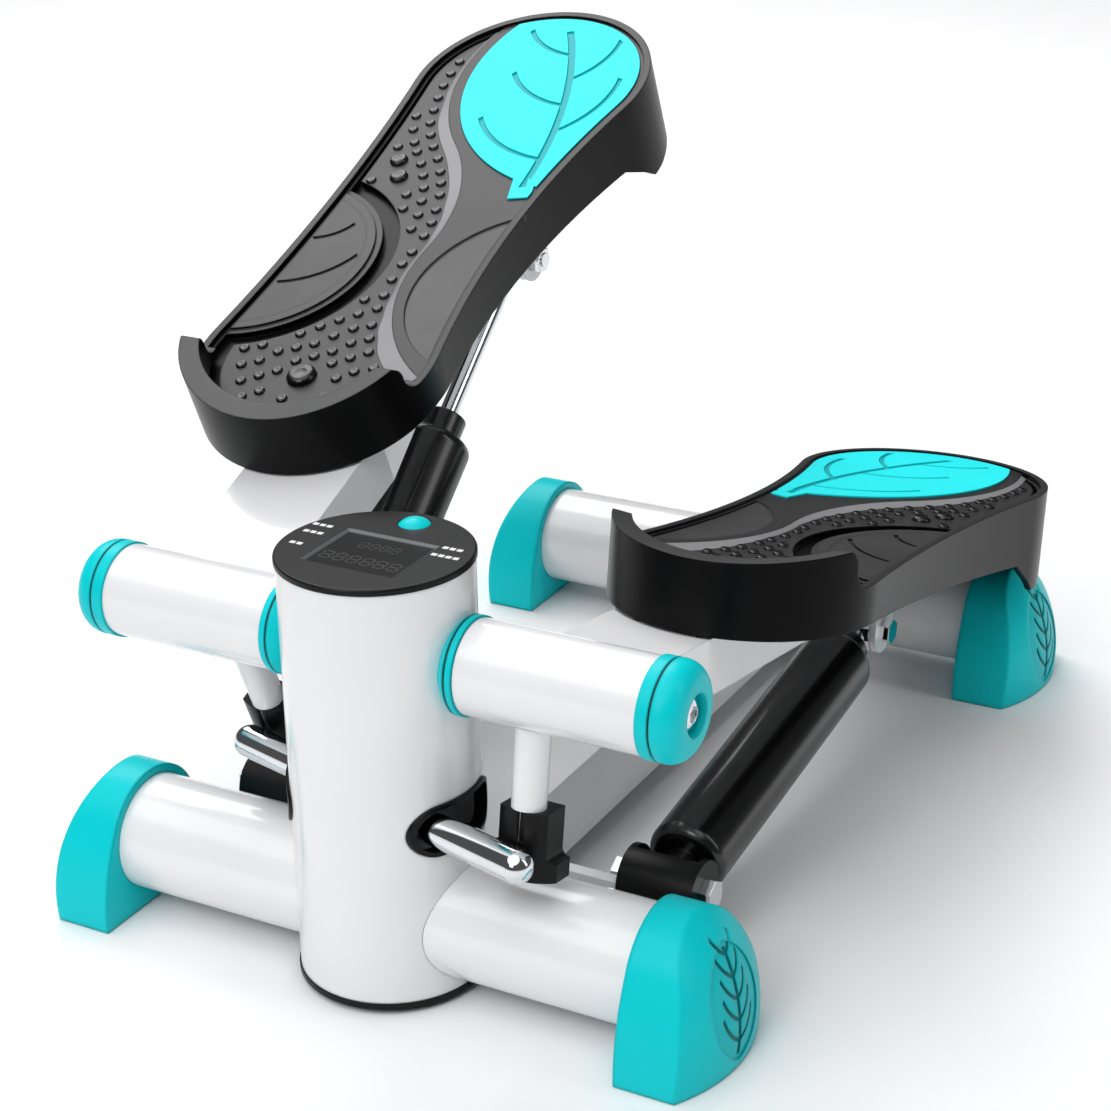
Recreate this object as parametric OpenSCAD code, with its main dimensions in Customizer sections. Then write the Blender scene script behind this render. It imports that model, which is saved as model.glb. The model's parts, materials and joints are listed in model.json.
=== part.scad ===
// Mini stepper: two pedal arms on one axle, tied by a rocker bar and slowed by two hydraulic dampers.
// X runs to the right, Y to the rear and Z up from the floor, in millimetres.
// Pedal places are given along the pedal behind the axle, and square to the pedal above the axle.

/* [Cross tubes and spine] */
// Outer diameter of the two cross tubes
tube_d = 50; // [46:1:52]
// Wall of the cross tubes
tube_wall = 2.5; // [1.5:0.5:4]
// Height of the cross tube axes above the floor
tube_z = 31.5; // [30:0.5:34]
// Distance between the two cross tube axes
wheelbase = 368; // [355:1:400]
// Width of the spine beam
spine_w = 60; // [50:1:64]
// Height of the spine beam
spine_h = 36; // [30:1:40]
// Height of the spine beam's lower face above the floor
spine_floor = 11; // [9:1:15]
// Wall of the spine beam
spine_wall = 2.5; // [1.5:0.5:4]

/* [Feet] */
// Distance from the centre plane to a foot's inner face
foot_x = 120; // [118:0.5:126]
// Length of a foot along its tube
foot_length = 37.5; // [34:0.5:42]
// Depth of a foot on the floor
foot_depth = 75; // [66:1:78]
// Thickness of a foot over its tube
foot_crown = 4; // [3:0.5:5]
// Height of the middle of a foot's domed end
foot_dome_z = 10; // [9:1:24]
// Radius of the domed outer end of a foot
foot_dome_r = 70; // [60:1:90]
// Depth of the tube socket in a foot
foot_socket = 18; // [12:1:20]
// Length of the leaf on a foot's end
foot_leaf_l = 46; // [36:1:47]
// Width of the leaf on a foot's end
foot_leaf_w = 36; // [26:1:38]
// Height of the middle of the leaf on a foot's end
foot_leaf_z = 26; // [24:0.5:29]
// Lean of the leaf on a foot's end
foot_leaf_lean = 10; // [0:1:20]
// Width of a leaf vein on a foot's end
foot_vein_w = 2.4; // [1.2:0.2:3]
// Depth of the leaf veins in a foot's end
foot_vein_depth = 1.4; // [0.6:0.2:2]

/* [Column] */
// Outer diameter of the column tube
column_d = 77.6; // [74:0.2:81]
// Wall of the column tube
column_wall = 3; // [2:0.5:4]
// Height of the column's upper edge
column_h = 182; // [176:1:188]
// Height of the column's lower edge
column_base = 4.5; // [4:0.5:6]
// Thickness of the base cap's flange
base_cap_t = 2.5; // [1.5:0.5:3]
// Overhang of the base cap and the monitor rim past the column
column_rim = 0.6; // [0:0.2:1.5]

/* [Axle and sleeves] */
// Depth of the axle under the column's upper edge
axle_drop = 38; // [34:0.5:42]
// Diameter of the axle
axle_d = 16; // [12:1:18]
// Outer diameter of a pivot sleeve
sleeve_d = 38.4; // [36:0.2:42]
// Wall of a pivot sleeve
sleeve_wall = 4; // [3:0.5:5]
// Distance from the centre plane to a sleeve's inner end
sleeve_x = 44; // [43:0.5:48]
// Length of a pivot sleeve
sleeve_l = 77; // [70:1:84]
// Length of a sleeve bush
bush_l = 12; // [8:1:16]
// Length of an outer cap's plug in the sleeve
plug_l = 6; // [4:0.5:8]
// Step of the cap rims past the sleeve
cap_step = 0.8; // [0.4:0.2:1.6]
// Width of the rim of a sleeve cap
cap_rim_w = 5; // [3:0.5:7]
// Width of the rim at the inner end of a column collar
collar_rim_w = 2.5; // [2:0.5:6]
// Width of the dark groove beside a cap rim
cap_groove_w = 1; // [0.6:0.2:1.6]
// Length of the dome of an outer cap
cap_dome_l = 10; // [9:0.5:13]
// Rounding of an outer cap's dome
cap_round = 8.5; // [6:0.5:9]
// Diameter of the bolt recess in an outer cap
cap_recess_d = 17; // [16:0.2:19]
// Diameter of the axle bolt's head
axle_bolt_d = 14; // [12:0.2:15]
// Height of the axle bolt's head
axle_bolt_h = 8; // [6:0.5:9]

/* [Pedal arms] */
// Distance from the centre plane to the middle of an arm
arm_x = 82.5; // [80:0.5:86]
// Width of an arm tube
arm_w = 50; // [44:1:54]
// Height of an arm tube
arm_h = 25; // [22:1:26]
// Height of an arm's top face above the axle
arm_top = 6; // [4:0.5:8]
// Narrowing of an arm's inner side under the pedal
arm_taper = 10; // [0:0.5:11]
// Distance from the axle to the start of the narrowing
taper_from = 105; // [100:1:110]
// Distance from the axle to the end of the narrowing
taper_to = 150; // [145:1:155]
// Wall of an arm tube
arm_wall = 2.5; // [1.5:0.5:4]
// Distance from the axle to an arm's rear end
arm_end = 326; // [310:1:326]
// Steepest angle of a pedal
pedal_up = 22.5; // [20:0.5:24]
// Angle that a pedal swings through
pedal_swing = 32; // [26:0.5:33]

/* [Pedals] */
// Distance from the centre plane to the middle of the toe end
toe_x = 97; // [94:0.5:100]
// Distance from the axle to the middle of the toe end
toe_y = 128; // [124:1:134]
// Radius of the toe end
toe_r = 57; // [52:0.5:58]
// Distance from the centre plane to the middle of the heel end
heel_x = 98; // [95:0.5:101]
// Distance from the axle to the middle of the heel end
heel_y = 337; // [332:1:340]
// Radius of the heel end
heel_r = 60; // [56:0.5:61]
// Radius of the hollow inner side
waist_in_r = 445; // [400:5:700]
// Radius of the hollow outer side
waist_out_r = 1000; // [800:10:1500]
// Height of the pedal's rim above the axle
rim_h = 26; // [24:0.5:29]
// Width of the rim
rim_w = 3.5; // [2.5:0.5:5]
// Drop from the rim to the deck
deck_drop = 2.5; // [1.5:0.5:4]
// Thickness of the deck
deck_t = 5; // [4:0.5:6]
// Thickness of the skirt wall
skirt_t = 3; // [2:0.5:4]
// Depth of the heel lip below the axle
lip_depth = 21; // [16:1:24]
// Height of the toe guard over the rim at its middle
guard_h = 12; // [8:0.5:16]
// Rise of the toe guard from its middle to its ends
guard_rise = 5; // [2:0.5:8]
// Thickness of the toe guard at its ends
guard_t = 7; // [5:0.5:8.5]
// Extra thickness of the toe guard at its front
guard_front = 3.5; // [0:0.5:6]
// Distance from the axle to the toe guard's ends
guard_end = 121; // [110:1:124]
// Rounding of the toe guard's upper corners
guard_round = 8; // [4:0.5:9]
// Radius of the run-out from the toe guard to the rim
guard_runout = 8; // [5:0.5:10]
// Thickness of the ribs under the deck
rib_t = 3; // [2:0.5:4]
// Distance from the toe's middle out to the half leaf's centre
half_leaf_x = 65; // [60:0.5:70]
// Distance from the toe's middle back to the half leaf's centre
half_leaf_y = 60; // [54:0.5:66]
// Radius of the raised half leaf beside the deck
half_leaf_r = 53; // [48:0.5:56]
// Raise of the half leaf over the deck
half_leaf_raise = 1; // [0.5:0.25:1.5]
// Raise of the smooth inner panel over the dotted deck
panel_raise = 1.2; // [0.5:0.1:1.5]
// Width of the panel's border round the leaf pad
panel_band = 6; // [4:0.5:8]
// Distance from the toe's middle in to the centre of the panel's bulge round the dish
panel_x = 96.5; // [92:0.5:100]
// Distance from the toe's middle back to the centre of the panel's bulge
panel_y = 69.5; // [66:0.5:73]
// Radius of the panel's bulge round the dish
panel_r = 85; // [82:0.5:88]
// Radius of the panel's hollow between the leaf pad and the bulge
panel_blend_r = 100; // [80:1:120]
// Distance from the toe's middle in to the dish's centre
dish_x = 77; // [72:0.5:82]
// Radius of the dish beside the arch of the foot
dish_r = 58; // [52:0.5:60]
// Depth of the dish
dish_depth = 0.8; // [0.4:0.1:1]
// Width of the channel round the half leaf and beside the toe
channel_w = 8; // [5:0.5:10]
// Width of the channel beside the heel
channel_heel_w = 2; // [1.5:0.5:4]
// Depth of the channel round the half leaf
channel_depth = 3; // [1:0.5:3]
// Distance from the heel's middle in to the centre of the leaf pad's bowed side
pad_arc_x = 61.6; // [58:0.2:66]
// Distance from the heel's middle back to the centre of the leaf pad's bowed side
pad_arc_y = 15.4; // [12:0.2:18]
// Radius of the leaf pad's bowed side
pad_arc_r = 95.4; // [92:0.2:98]
// Distance from the heel's middle in to the leaf pad's stem
pad_stem_x = 37; // [35:0.5:40]
// Distance from the heel's middle forward to the leaf pad's stem
pad_stem_y = 80; // [74:0.5:84]
// Length of the leaf pad's stem
stem_l = 8; // [4:0.5:12]
// Width of the leaf pad's stem
stem_w = 11; // [8:0.5:14]
// Length of the leaf pad's midrib
pad_rib_l = 129; // [110:1:132]
// Lean of the leaf pad's midrib
pad_rib_lean = 16; // [12:0.5:20]
// Bow of the leaf pad's midrib towards the inner side
pad_rib_bow = 8; // [4:0.5:10]
// Thickness of the leaf pad
pad_t = 3; // [2:0.5:4]
// Part of the leaf pad that stands over the panel
pad_raise = 0.8; // [0.2:0.2:1.2]
// Width of the veins in the leaf pad
pad_vein_w = 3.6; // [2:0.2:4.4]
// Bow of the side veins, as a share of their length
vein_bulge = 0.12; // [0.06:0.01:0.2]
// Depth of the veins in the leaf pad
pad_vein_depth = 0.8; // [0.4:0.2:1.2]
// Distance from the toe's middle back to the front pedal screw
screw_from_toe = 30; // [20:1:40]
// Distance from the damper bolt forward to the rear pedal screw
screw_from_bolt = 40; // [30:1:50]
// Depth of the pedal screws in the pedal
screw_grip = 8; // [5:0.5:10]
// Diameter of a pedal screw
screw_d = 6; // [5:0.5:8]

/* [Rocker] */
// Height of the rocker bar's axis
rocker_z = 79; // [77:0.5:82]
// Diameter of the rocker bar
bar_d = 14; // [12:0.5:16]
// Reach of the rocker bar past the drive rods
bar_past = 14.5; // [12:0.5:18]
// Diameter of the rocker's hub
hub_d = 26; // [24:0.5:28]
// Height of the rocker's hub
hub_h = 26; // [20:1:28]
// Diameter of the rocker's pivot post
post_d = 12; // [10:0.5:14]
// Distance from the centre plane to a drive rod
rod_x = 70; // [68:0.5:74]
// Diameter of a drive rod
rod_d = 14; // [12:0.5:16]
// Width of a drive block
block_w = 21; // [19:0.5:24]
// Height of a drive block
block_h = 28; // [26:1:30]
// Gap between a drive block and the front tube
block_clear = 8; // [6:0.5:10]
// Distance from the rod's axis to the block's front
block_front = 7; // [6:0.5:8]
// Distance from the rod's axis to the block's back
block_back = 10; // [8.5:0.5:12]
// Flare at the foot of a drive block
block_flare = 3.5; // [1:0.5:5]
// Diameter of the magnet on the hub
magnet_d = 6; // [4:0.5:8]
// Part of the magnet that stands out of the hub
magnet_out = 2; // [1:0.5:3]
// Width of the stride sensor
sensor_w = 10; // [8:0.5:14]
// Height of the stride sensor
sensor_h = 16; // [12:0.5:20]
// Gap between the stride sensor and the magnet
sensor_gap = 4; // [2:0.5:5]
// Height of the rocker slots in the column
slot_h = 22; // [20:0.5:26]
// Wall of the slot grommets
grommet_t = 2; // [1:0.25:2.5]
// Lip of the slot grommets past the column
grommet_lip = 1.2; // [0.6:0.2:2]

/* [Dampers] */
// Distance from the centre plane to a damper's axis
damper_x = 94; // [92:0.5:96]
// Distance of the lower damper bolts behind the front tube
low_y = 62.4; // [58:0.2:66]
// Height of the lower damper bolts above the floor
low_z = 28.5; // [27:0.5:34]
// Distance of the upper damper bolts from the axle, along the pedal
high_y = 284; // [280:1:288]
// Depth of the upper damper bolts below the axle
high_drop = 39.4; // [37:0.2:42]
// Diameter of a damper barrel
barrel_d = 35; // [30:0.5:36]
// Wall of a damper barrel
barrel_wall = 3.5; // [2.5:0.5:5]
// Distance from the lower bolt to the barrel's lower end
barrel_from = 15.5; // [15:0.5:18]
// Distance from the lower bolt to the barrel's upper end
barrel_to = 182; // [170:1:184]
// Rounding of the barrel's ends
barrel_round = 5; // [1:0.5:6]
// Diameter of the gland's neck
gland_d = 20; // [16:0.5:22]
// Length of the gland's neck
gland_l = 12; // [8:0.5:13]
// Diameter of a piston rod
piston_rod_d = 9; // [7:0.5:11]
// Thickness of a piston
piston_t = 12; // [8:1:16]
// Gap under a piston when its pedal is down
piston_rest = 8; // [6:0.5:14]
// Length of the gland's plug in the barrel
gland_plug_l = 10; // [8:0.5:14]
// Diameter of a lower damper bolt
low_bolt_d = 8; // [6:0.5:10]
// Diameter of an upper damper bolt
high_bolt_d = 7; // [6:0.5:7]
// Outer diameter of the upper eye
high_eye_d = 22; // [21:0.5:23]
// Bore of the upper eye, wide enough for the linkage's play
high_eye_bore = 15.8; // [15.6:0.2:16.4]
// Width of the upper eye
high_eye_w = 14; // [10:0.5:16]
// Outer diameter of the lower eye
low_eye_d = 20; // [17:0.5:21]
// Width of the lower eye
low_eye_w = 27; // [22:0.5:29]
// Outer radius of a damper bracket
bracket_r = 14; // [13:0.5:14.5]
// Thickness of the bracket and tab plates
plate_t = 3; // [2:0.5:3.5]
// Thickness of the strut plates
strut_t = 6; // [4:0.5:6]
// Height of the strut plates' upper faces
strut_top = 14.5; // [13:0.5:15]
// Height of the cross bars over the strut plates
strut_bar_h = 17.5; // [12:0.5:20]

/* [Monitor] */
// Thickness of the monitor's rim
monitor_t = 2.6; // [2.2:0.2:5]
// Depth of the monitor's skirt inside the column
skirt_h = 20; // [16:1:26]
// Wall of the monitor's skirt
skirt_wall = 2; // [1.5:0.25:2.5]
// Width of the display window
window_w = 42; // [36:1:46]
// Depth of the display window from front to rear
window_d = 34; // [28:1:36]
// Depth of the window's recess
window_recess = 1.8; // [1.5:0.1:2]
// Thickness of the display window
window_t = 0.9; // [0.7:0.1:1.2]
// Ledge that carries the display window
window_ledge = 3; // [2:0.5:4]
// Height of the display panel over the circuit board
panel_h = 6.4; // [5.5:0.1:8]
// Thickness of the circuit board
board_t = 1.6; // [1:0.1:2]
// Diameter of the coin cell
cell_d = 20; // [16:0.5:24]
// Thickness of the coin cell
cell_t = 3.2; // [2:0.1:5]
// Distance of the display in front of the column's axis
window_front = 3.5; // [2:0.5:6]
// Diameter of the mode button
button_d = 13.2; // [10:0.2:14]
// Distance of the mode button behind the column's axis
button_y = 29; // [26:0.5:29.5]
// Rise of the mode button over the monitor
button_rise = 2.4; // [1:0.2:3]
// Ball radius of the button's domed top
button_dome_r = 9.2; // [8:0.2:14]
// Width of the mode button's flange
button_flange = 1.5; // [1:0.25:2]
// Travel of the mode button
button_travel = 1.5; // [0.5:0.25:1.5]

/* [Fits] */
// Radial clearance of the turning and sliding fits
run_fit = 0.05; // [0.02:0.01:0.1]
// Gap between pieces that pass each other
pass_gap = 0.4; // [0.3:0.1:0.6]
// Gap between a drive block and the rocker bar
drive_gap = 0.8; // [0.6:0.1:1.2]

/* [Hidden] */
$fn = 64;
over = 1;
black = "#161618";
white = "#f1f1f2";
teal = "#19c4c8";
steel = "#c9ccd0";
tube_r = tube_d / 2;
foot_crease = 0.2;
column_r = column_d / 2;
column_in_r = column_r - column_wall;
rim_r = column_r + column_rim;
axle_z = column_h - axle_drop;
sleeve_r = sleeve_d / 2;
cap_r = sleeve_r + cap_step;
sleeve_end = sleeve_x + sleeve_l;
axle_end = sleeve_end + cap_rim_w + cap_groove_w + 1;
pedal_down = pedal_up - pedal_swing;
front_edge = max(rim_r, foot_depth / 2);
mid_y = (wheelbase + foot_depth / 2 - front_edge) / 2;
deck_h = rim_h - deck_drop;
deck_low = deck_h - deck_t;
screw_y = [toe_y + screw_from_toe, high_y - screw_from_bolt];
pad_low = deck_h + panel_raise + pad_raise - pad_t;
toe = [toe_x, toe_y];
heel = [heel_x, heel_y];
toe_front = toe_y - toe_r;
heel_back = heel_y + heel_r;
half_leaf = toe + [half_leaf_x, half_leaf_y];
dish = toe + [-dish_x, half_leaf_y];
panel = toe + [-panel_x, panel_y];
pad_arc = heel + [-pad_arc_x, pad_arc_y];
pad_stem = heel + [-pad_stem_x, -pad_stem_y];
pad_way = [sin(pad_rib_lean), cos(pad_rib_lean)];
// The rocker passes in front of both drive blocks, and turns a little less than they
// swing to keep the gaps even
yaw_share = 0.98;
drive_l = axle_z - rocker_z;
bar_l = 2 * (rod_x + bar_past);
push_rear = drive_l * tan(pedal_up);
push_front = drive_l * tan(pedal_down);
rocker_yaw = yaw_share * atan((push_rear - push_front) / (2 * rod_x));
rocker_y = (push_rear + push_front) / 2 - (block_front + bar_d / 2 + drive_gap) / cos(pedal_up);
slot_reach = column_r * tan(rocker_yaw) + bar_d / 2 / cos(rocker_yaw) + over;
slot_low = rocker_y - slot_reach - grommet_t;
slot_high = max(rocker_y + slot_reach + grommet_t, column_r * sin(30));
// The block's foot sweeps just over the front tube
block_sweep = axle_z - tube_z - tube_r - block_clear;
block_top = block_h - sqrt(block_sweep ^ 2 - block_back ^ 2);
rod_seat = 12;
// Damper length and slope follow from the two bolts at a given pedal angle
function high_bolt(a) = [high_y * cos(a) + high_drop * sin(a), axle_z + high_y * sin(a) - high_drop * cos(a)];
function damper_run(a) = high_bolt(a) - [low_y, low_z];
function damper_l(a) = norm(damper_run(a));
function damper_slope(a) = atan2(damper_run(a)[1], damper_run(a)[0]);
function side_angle(side) = side > 0 ? pedal_down : pedal_up;
// Centre of an arc that touches two circles from outside
function touch_centre(c1, r1, c2, r2, r, side) =
    let (d = norm(c2 - c1),
         e = (c2 - c1) / d,
         a = ((r1 + r) ^ 2 - (r2 + r) ^ 2 + d ^ 2) / (2 * d),
         b = sqrt((r1 + r) ^ 2 - a ^ 2))
    c1 + a * e + side * b * [-e[1], e[0]];
function toward(c, p, r) = c + r * (p - c) / norm(p - c);
// The piston stops short of the barrel's floor when its pedal is down
rod_l = damper_l(pedal_down) - barrel_from - 2 * barrel_wall - piston_rest;
waist_in = touch_centre(toe, toe_r, heel, heel_r, waist_in_r, 1);
waist_out = touch_centre(toe, toe_r, heel, heel_r, waist_out_r, -1);

// Places

module placed() {
    translate([0, -mid_y, 0])
        children();
}

module sided(side) {
    if (side > 0)
        children();
    else
        mirror([1, 0, 0])
            children();
}

// Frame of one pedal arm: X from the centre plane, Y along the pedal, Z square to it
module on_arm(side) {
    placed()
        translate([0, 0, axle_z])
            rotate([side_angle(side), 0, 0])
                sided(side)
                    children();
}

// Frame of one damper: X across, Y from the lower bolt to the upper one
module on_damper(side) {
    placed()
        sided(side)
            translate([damper_x, low_y, low_z])
                rotate([damper_slope(side_angle(side)), 0, 0])
                    children();
}

module on_rocker() {
    placed()
        translate([0, rocker_y, rocker_z])
            rotate([0, 0, -rocker_yaw])
                children();
}

// Shared shapes

module rod_x_axis(d, from, to) {
    translate([from, 0, 0])
        rotate([0, 90, 0])
            cylinder(d = d, h = to - from);
}

module rod_y_axis(d, from, to) {
    translate([0, from, 0])
        rotate([-90, 0, 0])
            cylinder(d = d, h = to - from);
}

module pipe_x_axis(d, bore, from, to) {
    difference() {
        rod_x_axis(d, from, to);
        rod_x_axis(bore, from - over, to + over);
    }
}

// Slice of a ball on the X axis, no wider than a limit
module ball_slice(ball_r, middle, from, to, limit_r) {
    rotate([0, 90, 0])
        rotate_extrude()
            intersection() {
                translate([0, from])
                    square([limit_r, to - from]);
                translate([0, middle])
                    circle(r = ball_r);
            }
}

module rounded_bar_profile(r, from, to, round) {
    translate([0, from + round])
        square([r, to - from - 2 * round]);
    translate([0, from])
        square([r - round, to - from]);
    for (y = [from + round, to - round])
        translate([r - round, y])
            circle(r = round);
}

// Straight bar with square ends between two points
module stroke_square(from, to, w) {
    run = to - from;
    translate(from)
        rotate(atan2(run[1], run[0]))
            translate([0, -w / 2])
                square([norm(run), w]);
}

// Bowed bar between two points: a piece of a ring that bulges to the left of its way
module bowed_bar(from, to, w, bulge) {
    run = to - from;
    half = norm(run) / 2;
    ring_r = (half ^ 2 + bulge ^ 2) / (2 * bulge);
    translate(from)
        rotate(atan2(run[1], run[0]))
            translate([half, 0])
                intersection() {
                    translate([0, bulge - ring_r])
                        difference() {
                            circle(r = ring_r + w / 2);
                            circle(r = ring_r - w / 2);
                        }
                    translate([-half, -w])
                        square([2 * half, bulge + 2 * w]);
                }
}

// A leaf's veins along a midrib: bowed side veins leave it at equal steps, shorter towards the tip
module veins(from, to, w, reach, count) {
    run = to - from;
    ahead = run / norm(run);
    across = [-ahead[1], ahead[0]];
    stroke_square(from, to, w);
    for (i = [1:count]) {
        root = from + run * (i - 0.3) / count;
        l = reach * (1.15 - 0.5 * i / count);
        left = root + l * (0.7 * ahead + 0.71 * across);
        right = root + l * (0.7 * ahead - 0.71 * across);
        bowed_bar(root, left, w * 0.7, l * vein_bulge);
        bowed_bar(right, root, w * 0.7, l * vein_bulge);
    }
}

// Outline of a pedal, drawn in by an inset
module sole(inset) {
    difference() {
        union() {
            translate(toe)
                circle(r = toe_r - inset);
            translate(heel)
                circle(r = heel_r - inset);
            polygon([
                toe,
                toward(toe, waist_out, toe_r - inset),
                toward(heel, waist_out, heel_r - inset),
                heel,
                toward(heel, waist_in, heel_r - inset),
                toward(toe, waist_in, toe_r - inset)
            ]);
        }
        translate(waist_in)
            circle(r = waist_in_r + inset, $fn = 360);
        translate(waist_out)
            circle(r = waist_out_r + inset, $fn = 360);
    }
}

// Base frame

module cross_tube(y) {
    color(white)
        placed()
            translate([0, y, tube_z])
                pipe_x_axis(tube_d, tube_d - 2 * tube_wall, -foot_x - foot_socket, foot_x + foot_socket);
}

module front_tube_core() {
    translate([0, 0, tube_z])
        rod_x_axis(tube_d, -foot_x, foot_x);
}

module rear_tube_core() {
    translate([0, wheelbase, tube_z])
        rod_x_axis(tube_d, -foot_x, foot_x);
}

module column_core() {
    cylinder(d = column_d, h = column_h);
}

module spine_beam() {
    color(white)
        placed()
            difference() {
                translate([-spine_w / 2, 0, spine_floor])
                    cube([spine_w, wheelbase, spine_h]);
                translate([-spine_w / 2 + spine_wall, -over, spine_floor + spine_wall])
                    cube([spine_w - 2 * spine_wall, wheelbase + 2 * over, spine_h - 2 * spine_wall]);
                column_core();
                front_tube_core();
                rear_tube_core();
            }
}

module slot_shape(inset, from, to) {
    r = slot_h / 2 - inset;
    for (y = [slot_low + slot_h / 2, slot_high - slot_h / 2])
        translate([0, y, rocker_z])
            rod_x_axis(2 * r, from, to);
    translate([from, slot_low + slot_h / 2, rocker_z - r])
        cube([to - from, slot_high - slot_low - slot_h, 2 * r]);
}

module column_tube() {
    color(white)
        placed()
            difference() {
                translate([0, 0, column_base])
                    cylinder(d = column_d, h = column_h - column_base);
                translate([0, 0, column_base - over])
                    cylinder(r = column_in_r, h = column_h - column_base + 2 * over);
                front_tube_core();
                translate([0, 0, axle_z])
                    rod_x_axis(axle_d, -column_d, column_d);
                slot_shape(0, -column_d, column_d);
            }
}

module column_base_cap() {
    color(black)
        placed()
            difference() {
                union() {
                    translate([0, 0, column_base - base_cap_t])
                        cylinder(r = rim_r, h = base_cap_t);
                    translate([0, 0, column_base])
                        cylinder(r = column_in_r, h = 2 * over);
                }
                front_tube_core();
            }
}

// A crown round the tube, and bowed sides that meet the floor upright
module foot_profile() {
    crown_r = tube_r + foot_crown;
    half = foot_depth / 2;
    bite_r = crown_r - foot_crease;
    bow_r = (half ^ 2 + tube_z ^ 2 - bite_r ^ 2) / (2 * (half - bite_r));
    translate([0, tube_z])
        circle(r = crown_r);
    intersection() {
        translate([half - bow_r, 0])
            circle(r = bow_r, $fn = 180);
        translate([bow_r - half, 0])
            circle(r = bow_r, $fn = 180);
        translate([-half - over, 0])
            square([foot_depth + 2 * over, tube_z + crown_r / 2]);
    }
}

module foot(side, y) {
    color(teal)
        placed()
            translate([0, y, 0])
                sided(side)
                    difference() {
                        intersection() {
                            translate([foot_x, 0, 0])
                                rotate([90, 0, 90])
                                    linear_extrude(foot_length + over)
                                        foot_profile();
                            foot_ball(0);
                        }
                        translate([0, 0, tube_z])
                            rod_x_axis(tube_d, foot_x - over, foot_x + foot_socket);
                        foot_carving(foot_vein_depth / 2)
                            foot_leaf();
                        foot_carving(foot_vein_depth)
                            foot_veins();
                    }
}

module foot_ball(inset) {
    translate([foot_x + foot_length - foot_dome_r, 0, foot_dome_z])
        rotate(180)
            sphere(r = foot_dome_r - inset, $fn = 128);
}

// Carves an outline into the domed end, to an even depth
module foot_carving(depth) {
    difference() {
        translate([foot_x + foot_socket + over, 0, foot_leaf_z])
            rotate([90, 0, 90])
                linear_extrude(foot_length)
                    rotate(-foot_leaf_lean)
                        children();
        foot_ball(depth);
    }
}

// Leaf outline between two arcs
module foot_leaf() {
    arc_r = (foot_leaf_l ^ 2 + foot_leaf_w ^ 2) / (4 * foot_leaf_w);
    intersection() {
        translate([arc_r - foot_leaf_w / 2, 0])
            circle(r = arc_r);
        translate([foot_leaf_w / 2 - arc_r, 0])
            circle(r = arc_r);
    }
}

module foot_veins() {
    tip = [0, foot_leaf_l * 0.45];
    veins(-tip, tip, foot_vein_w, foot_leaf_w * 0.42, 5);
}

// Floor plates with a cross bar that carry the damper brackets
module strut_plates() {
    reach = low_eye_w / 2 + pass_gap + plate_t;
    bar_end = damper_x - reach;
    bar_depth = bracket_r - 0.9 * low_bolt_d - 2 * pass_gap;
    color(white)
        placed()
            for (side = [-1, 1])
                sided(side)
                    difference() {
                        union() {
                            translate([spine_w / 2, 0, strut_top - strut_t])
                                cube([damper_x + reach + over - spine_w / 2, low_y + bracket_r, strut_t]);
                            translate([spine_w / 2, low_y - bracket_r, strut_top - over])
                                cube([bar_end - spine_w / 2, bar_depth, strut_bar_h + over]);
                        }
                        front_tube_core();
                        column_core();
                    }
}

module bracket_cheek(x) {
    rod_x_axis(2 * bracket_r, x, x + plate_t);
    translate([x, -bracket_r, strut_top - low_z])
        cube([plate_t, 2 * bracket_r, low_z - strut_top]);
}

module damper_bracket(side) {
    inner = low_eye_w / 2 + pass_gap;
    color(black)
        placed()
            sided(side)
                translate([damper_x, low_y, low_z])
                    difference() {
                        union() {
                            bracket_cheek(inner);
                            bracket_cheek(-inner - plate_t);
                            difference() {
                                rod_x_axis(2 * bracket_r, -inner, inner);
                                rod_x_axis(2 * (bracket_r - plate_t + 0.5), -inner - over, inner + over);
                                translate([-inner - over, 0, -bracket_r])
                                    cube([2 * inner + 2 * over, bracket_r, 2 * bracket_r]);
                                translate([-inner - over, -bracket_r - over, -bracket_r - over])
                                    cube([2 * inner + 2 * over, bracket_r + 2 * over, bracket_r + over]);
                            }
                            translate([-inner, -bracket_r, strut_top - low_z])
                                cube([2 * inner, plate_t - 0.5, low_z - strut_top]);
                        }
                        rod_x_axis(low_bolt_d, -2 * inner, 2 * inner);
                    }
}

// A hexagon bolt along X with its nut, clamped over plates that end at two places
module bolt_and_nut(d, from, to) {
    head = 1.8 * d;
    rod_x_axis(d, from - 0.9 * d, to);
    translate([to, 0, 0])
        rotate([0, 90, 0])
            cylinder(d = head, h = 0.65 * d, $fn = 6);
    difference() {
        translate([from - 0.8 * d, 0, 0])
            rotate([0, 90, 0])
                cylinder(d = head, h = 0.8 * d, $fn = 6);
        rod_x_axis(d, from - d, from + over);
    }
}

module lower_bolts() {
    outer = low_eye_w / 2 + pass_gap + plate_t;
    color(steel)
        placed()
            for (side = [-1, 1])
                sided(side)
                    translate([damper_x, low_y, low_z])
                        bolt_and_nut(low_bolt_d, -outer, outer);
}

module pivot_axle() {
    color(steel)
        placed()
            translate([0, 0, axle_z])
                rod_x_axis(axle_d, -axle_end, axle_end);
}

module axle_bolts() {
    dome_r = axle_bolt_d;
    color(steel)
        placed()
            for (side = [-1, 1])
                sided(side)
                    translate([axle_end, 0, axle_z])
                        difference() {
                            ball_slice(dome_r, axle_bolt_h - dome_r, 0, axle_bolt_h + over, axle_bolt_d / 2);
                            translate([axle_bolt_h / 2, 0, 0])
                                rotate([0, 90, 0])
                                    cylinder(d = axle_bolt_d / 2, h = axle_bolt_h, $fn = 6);
                        }
}

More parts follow.
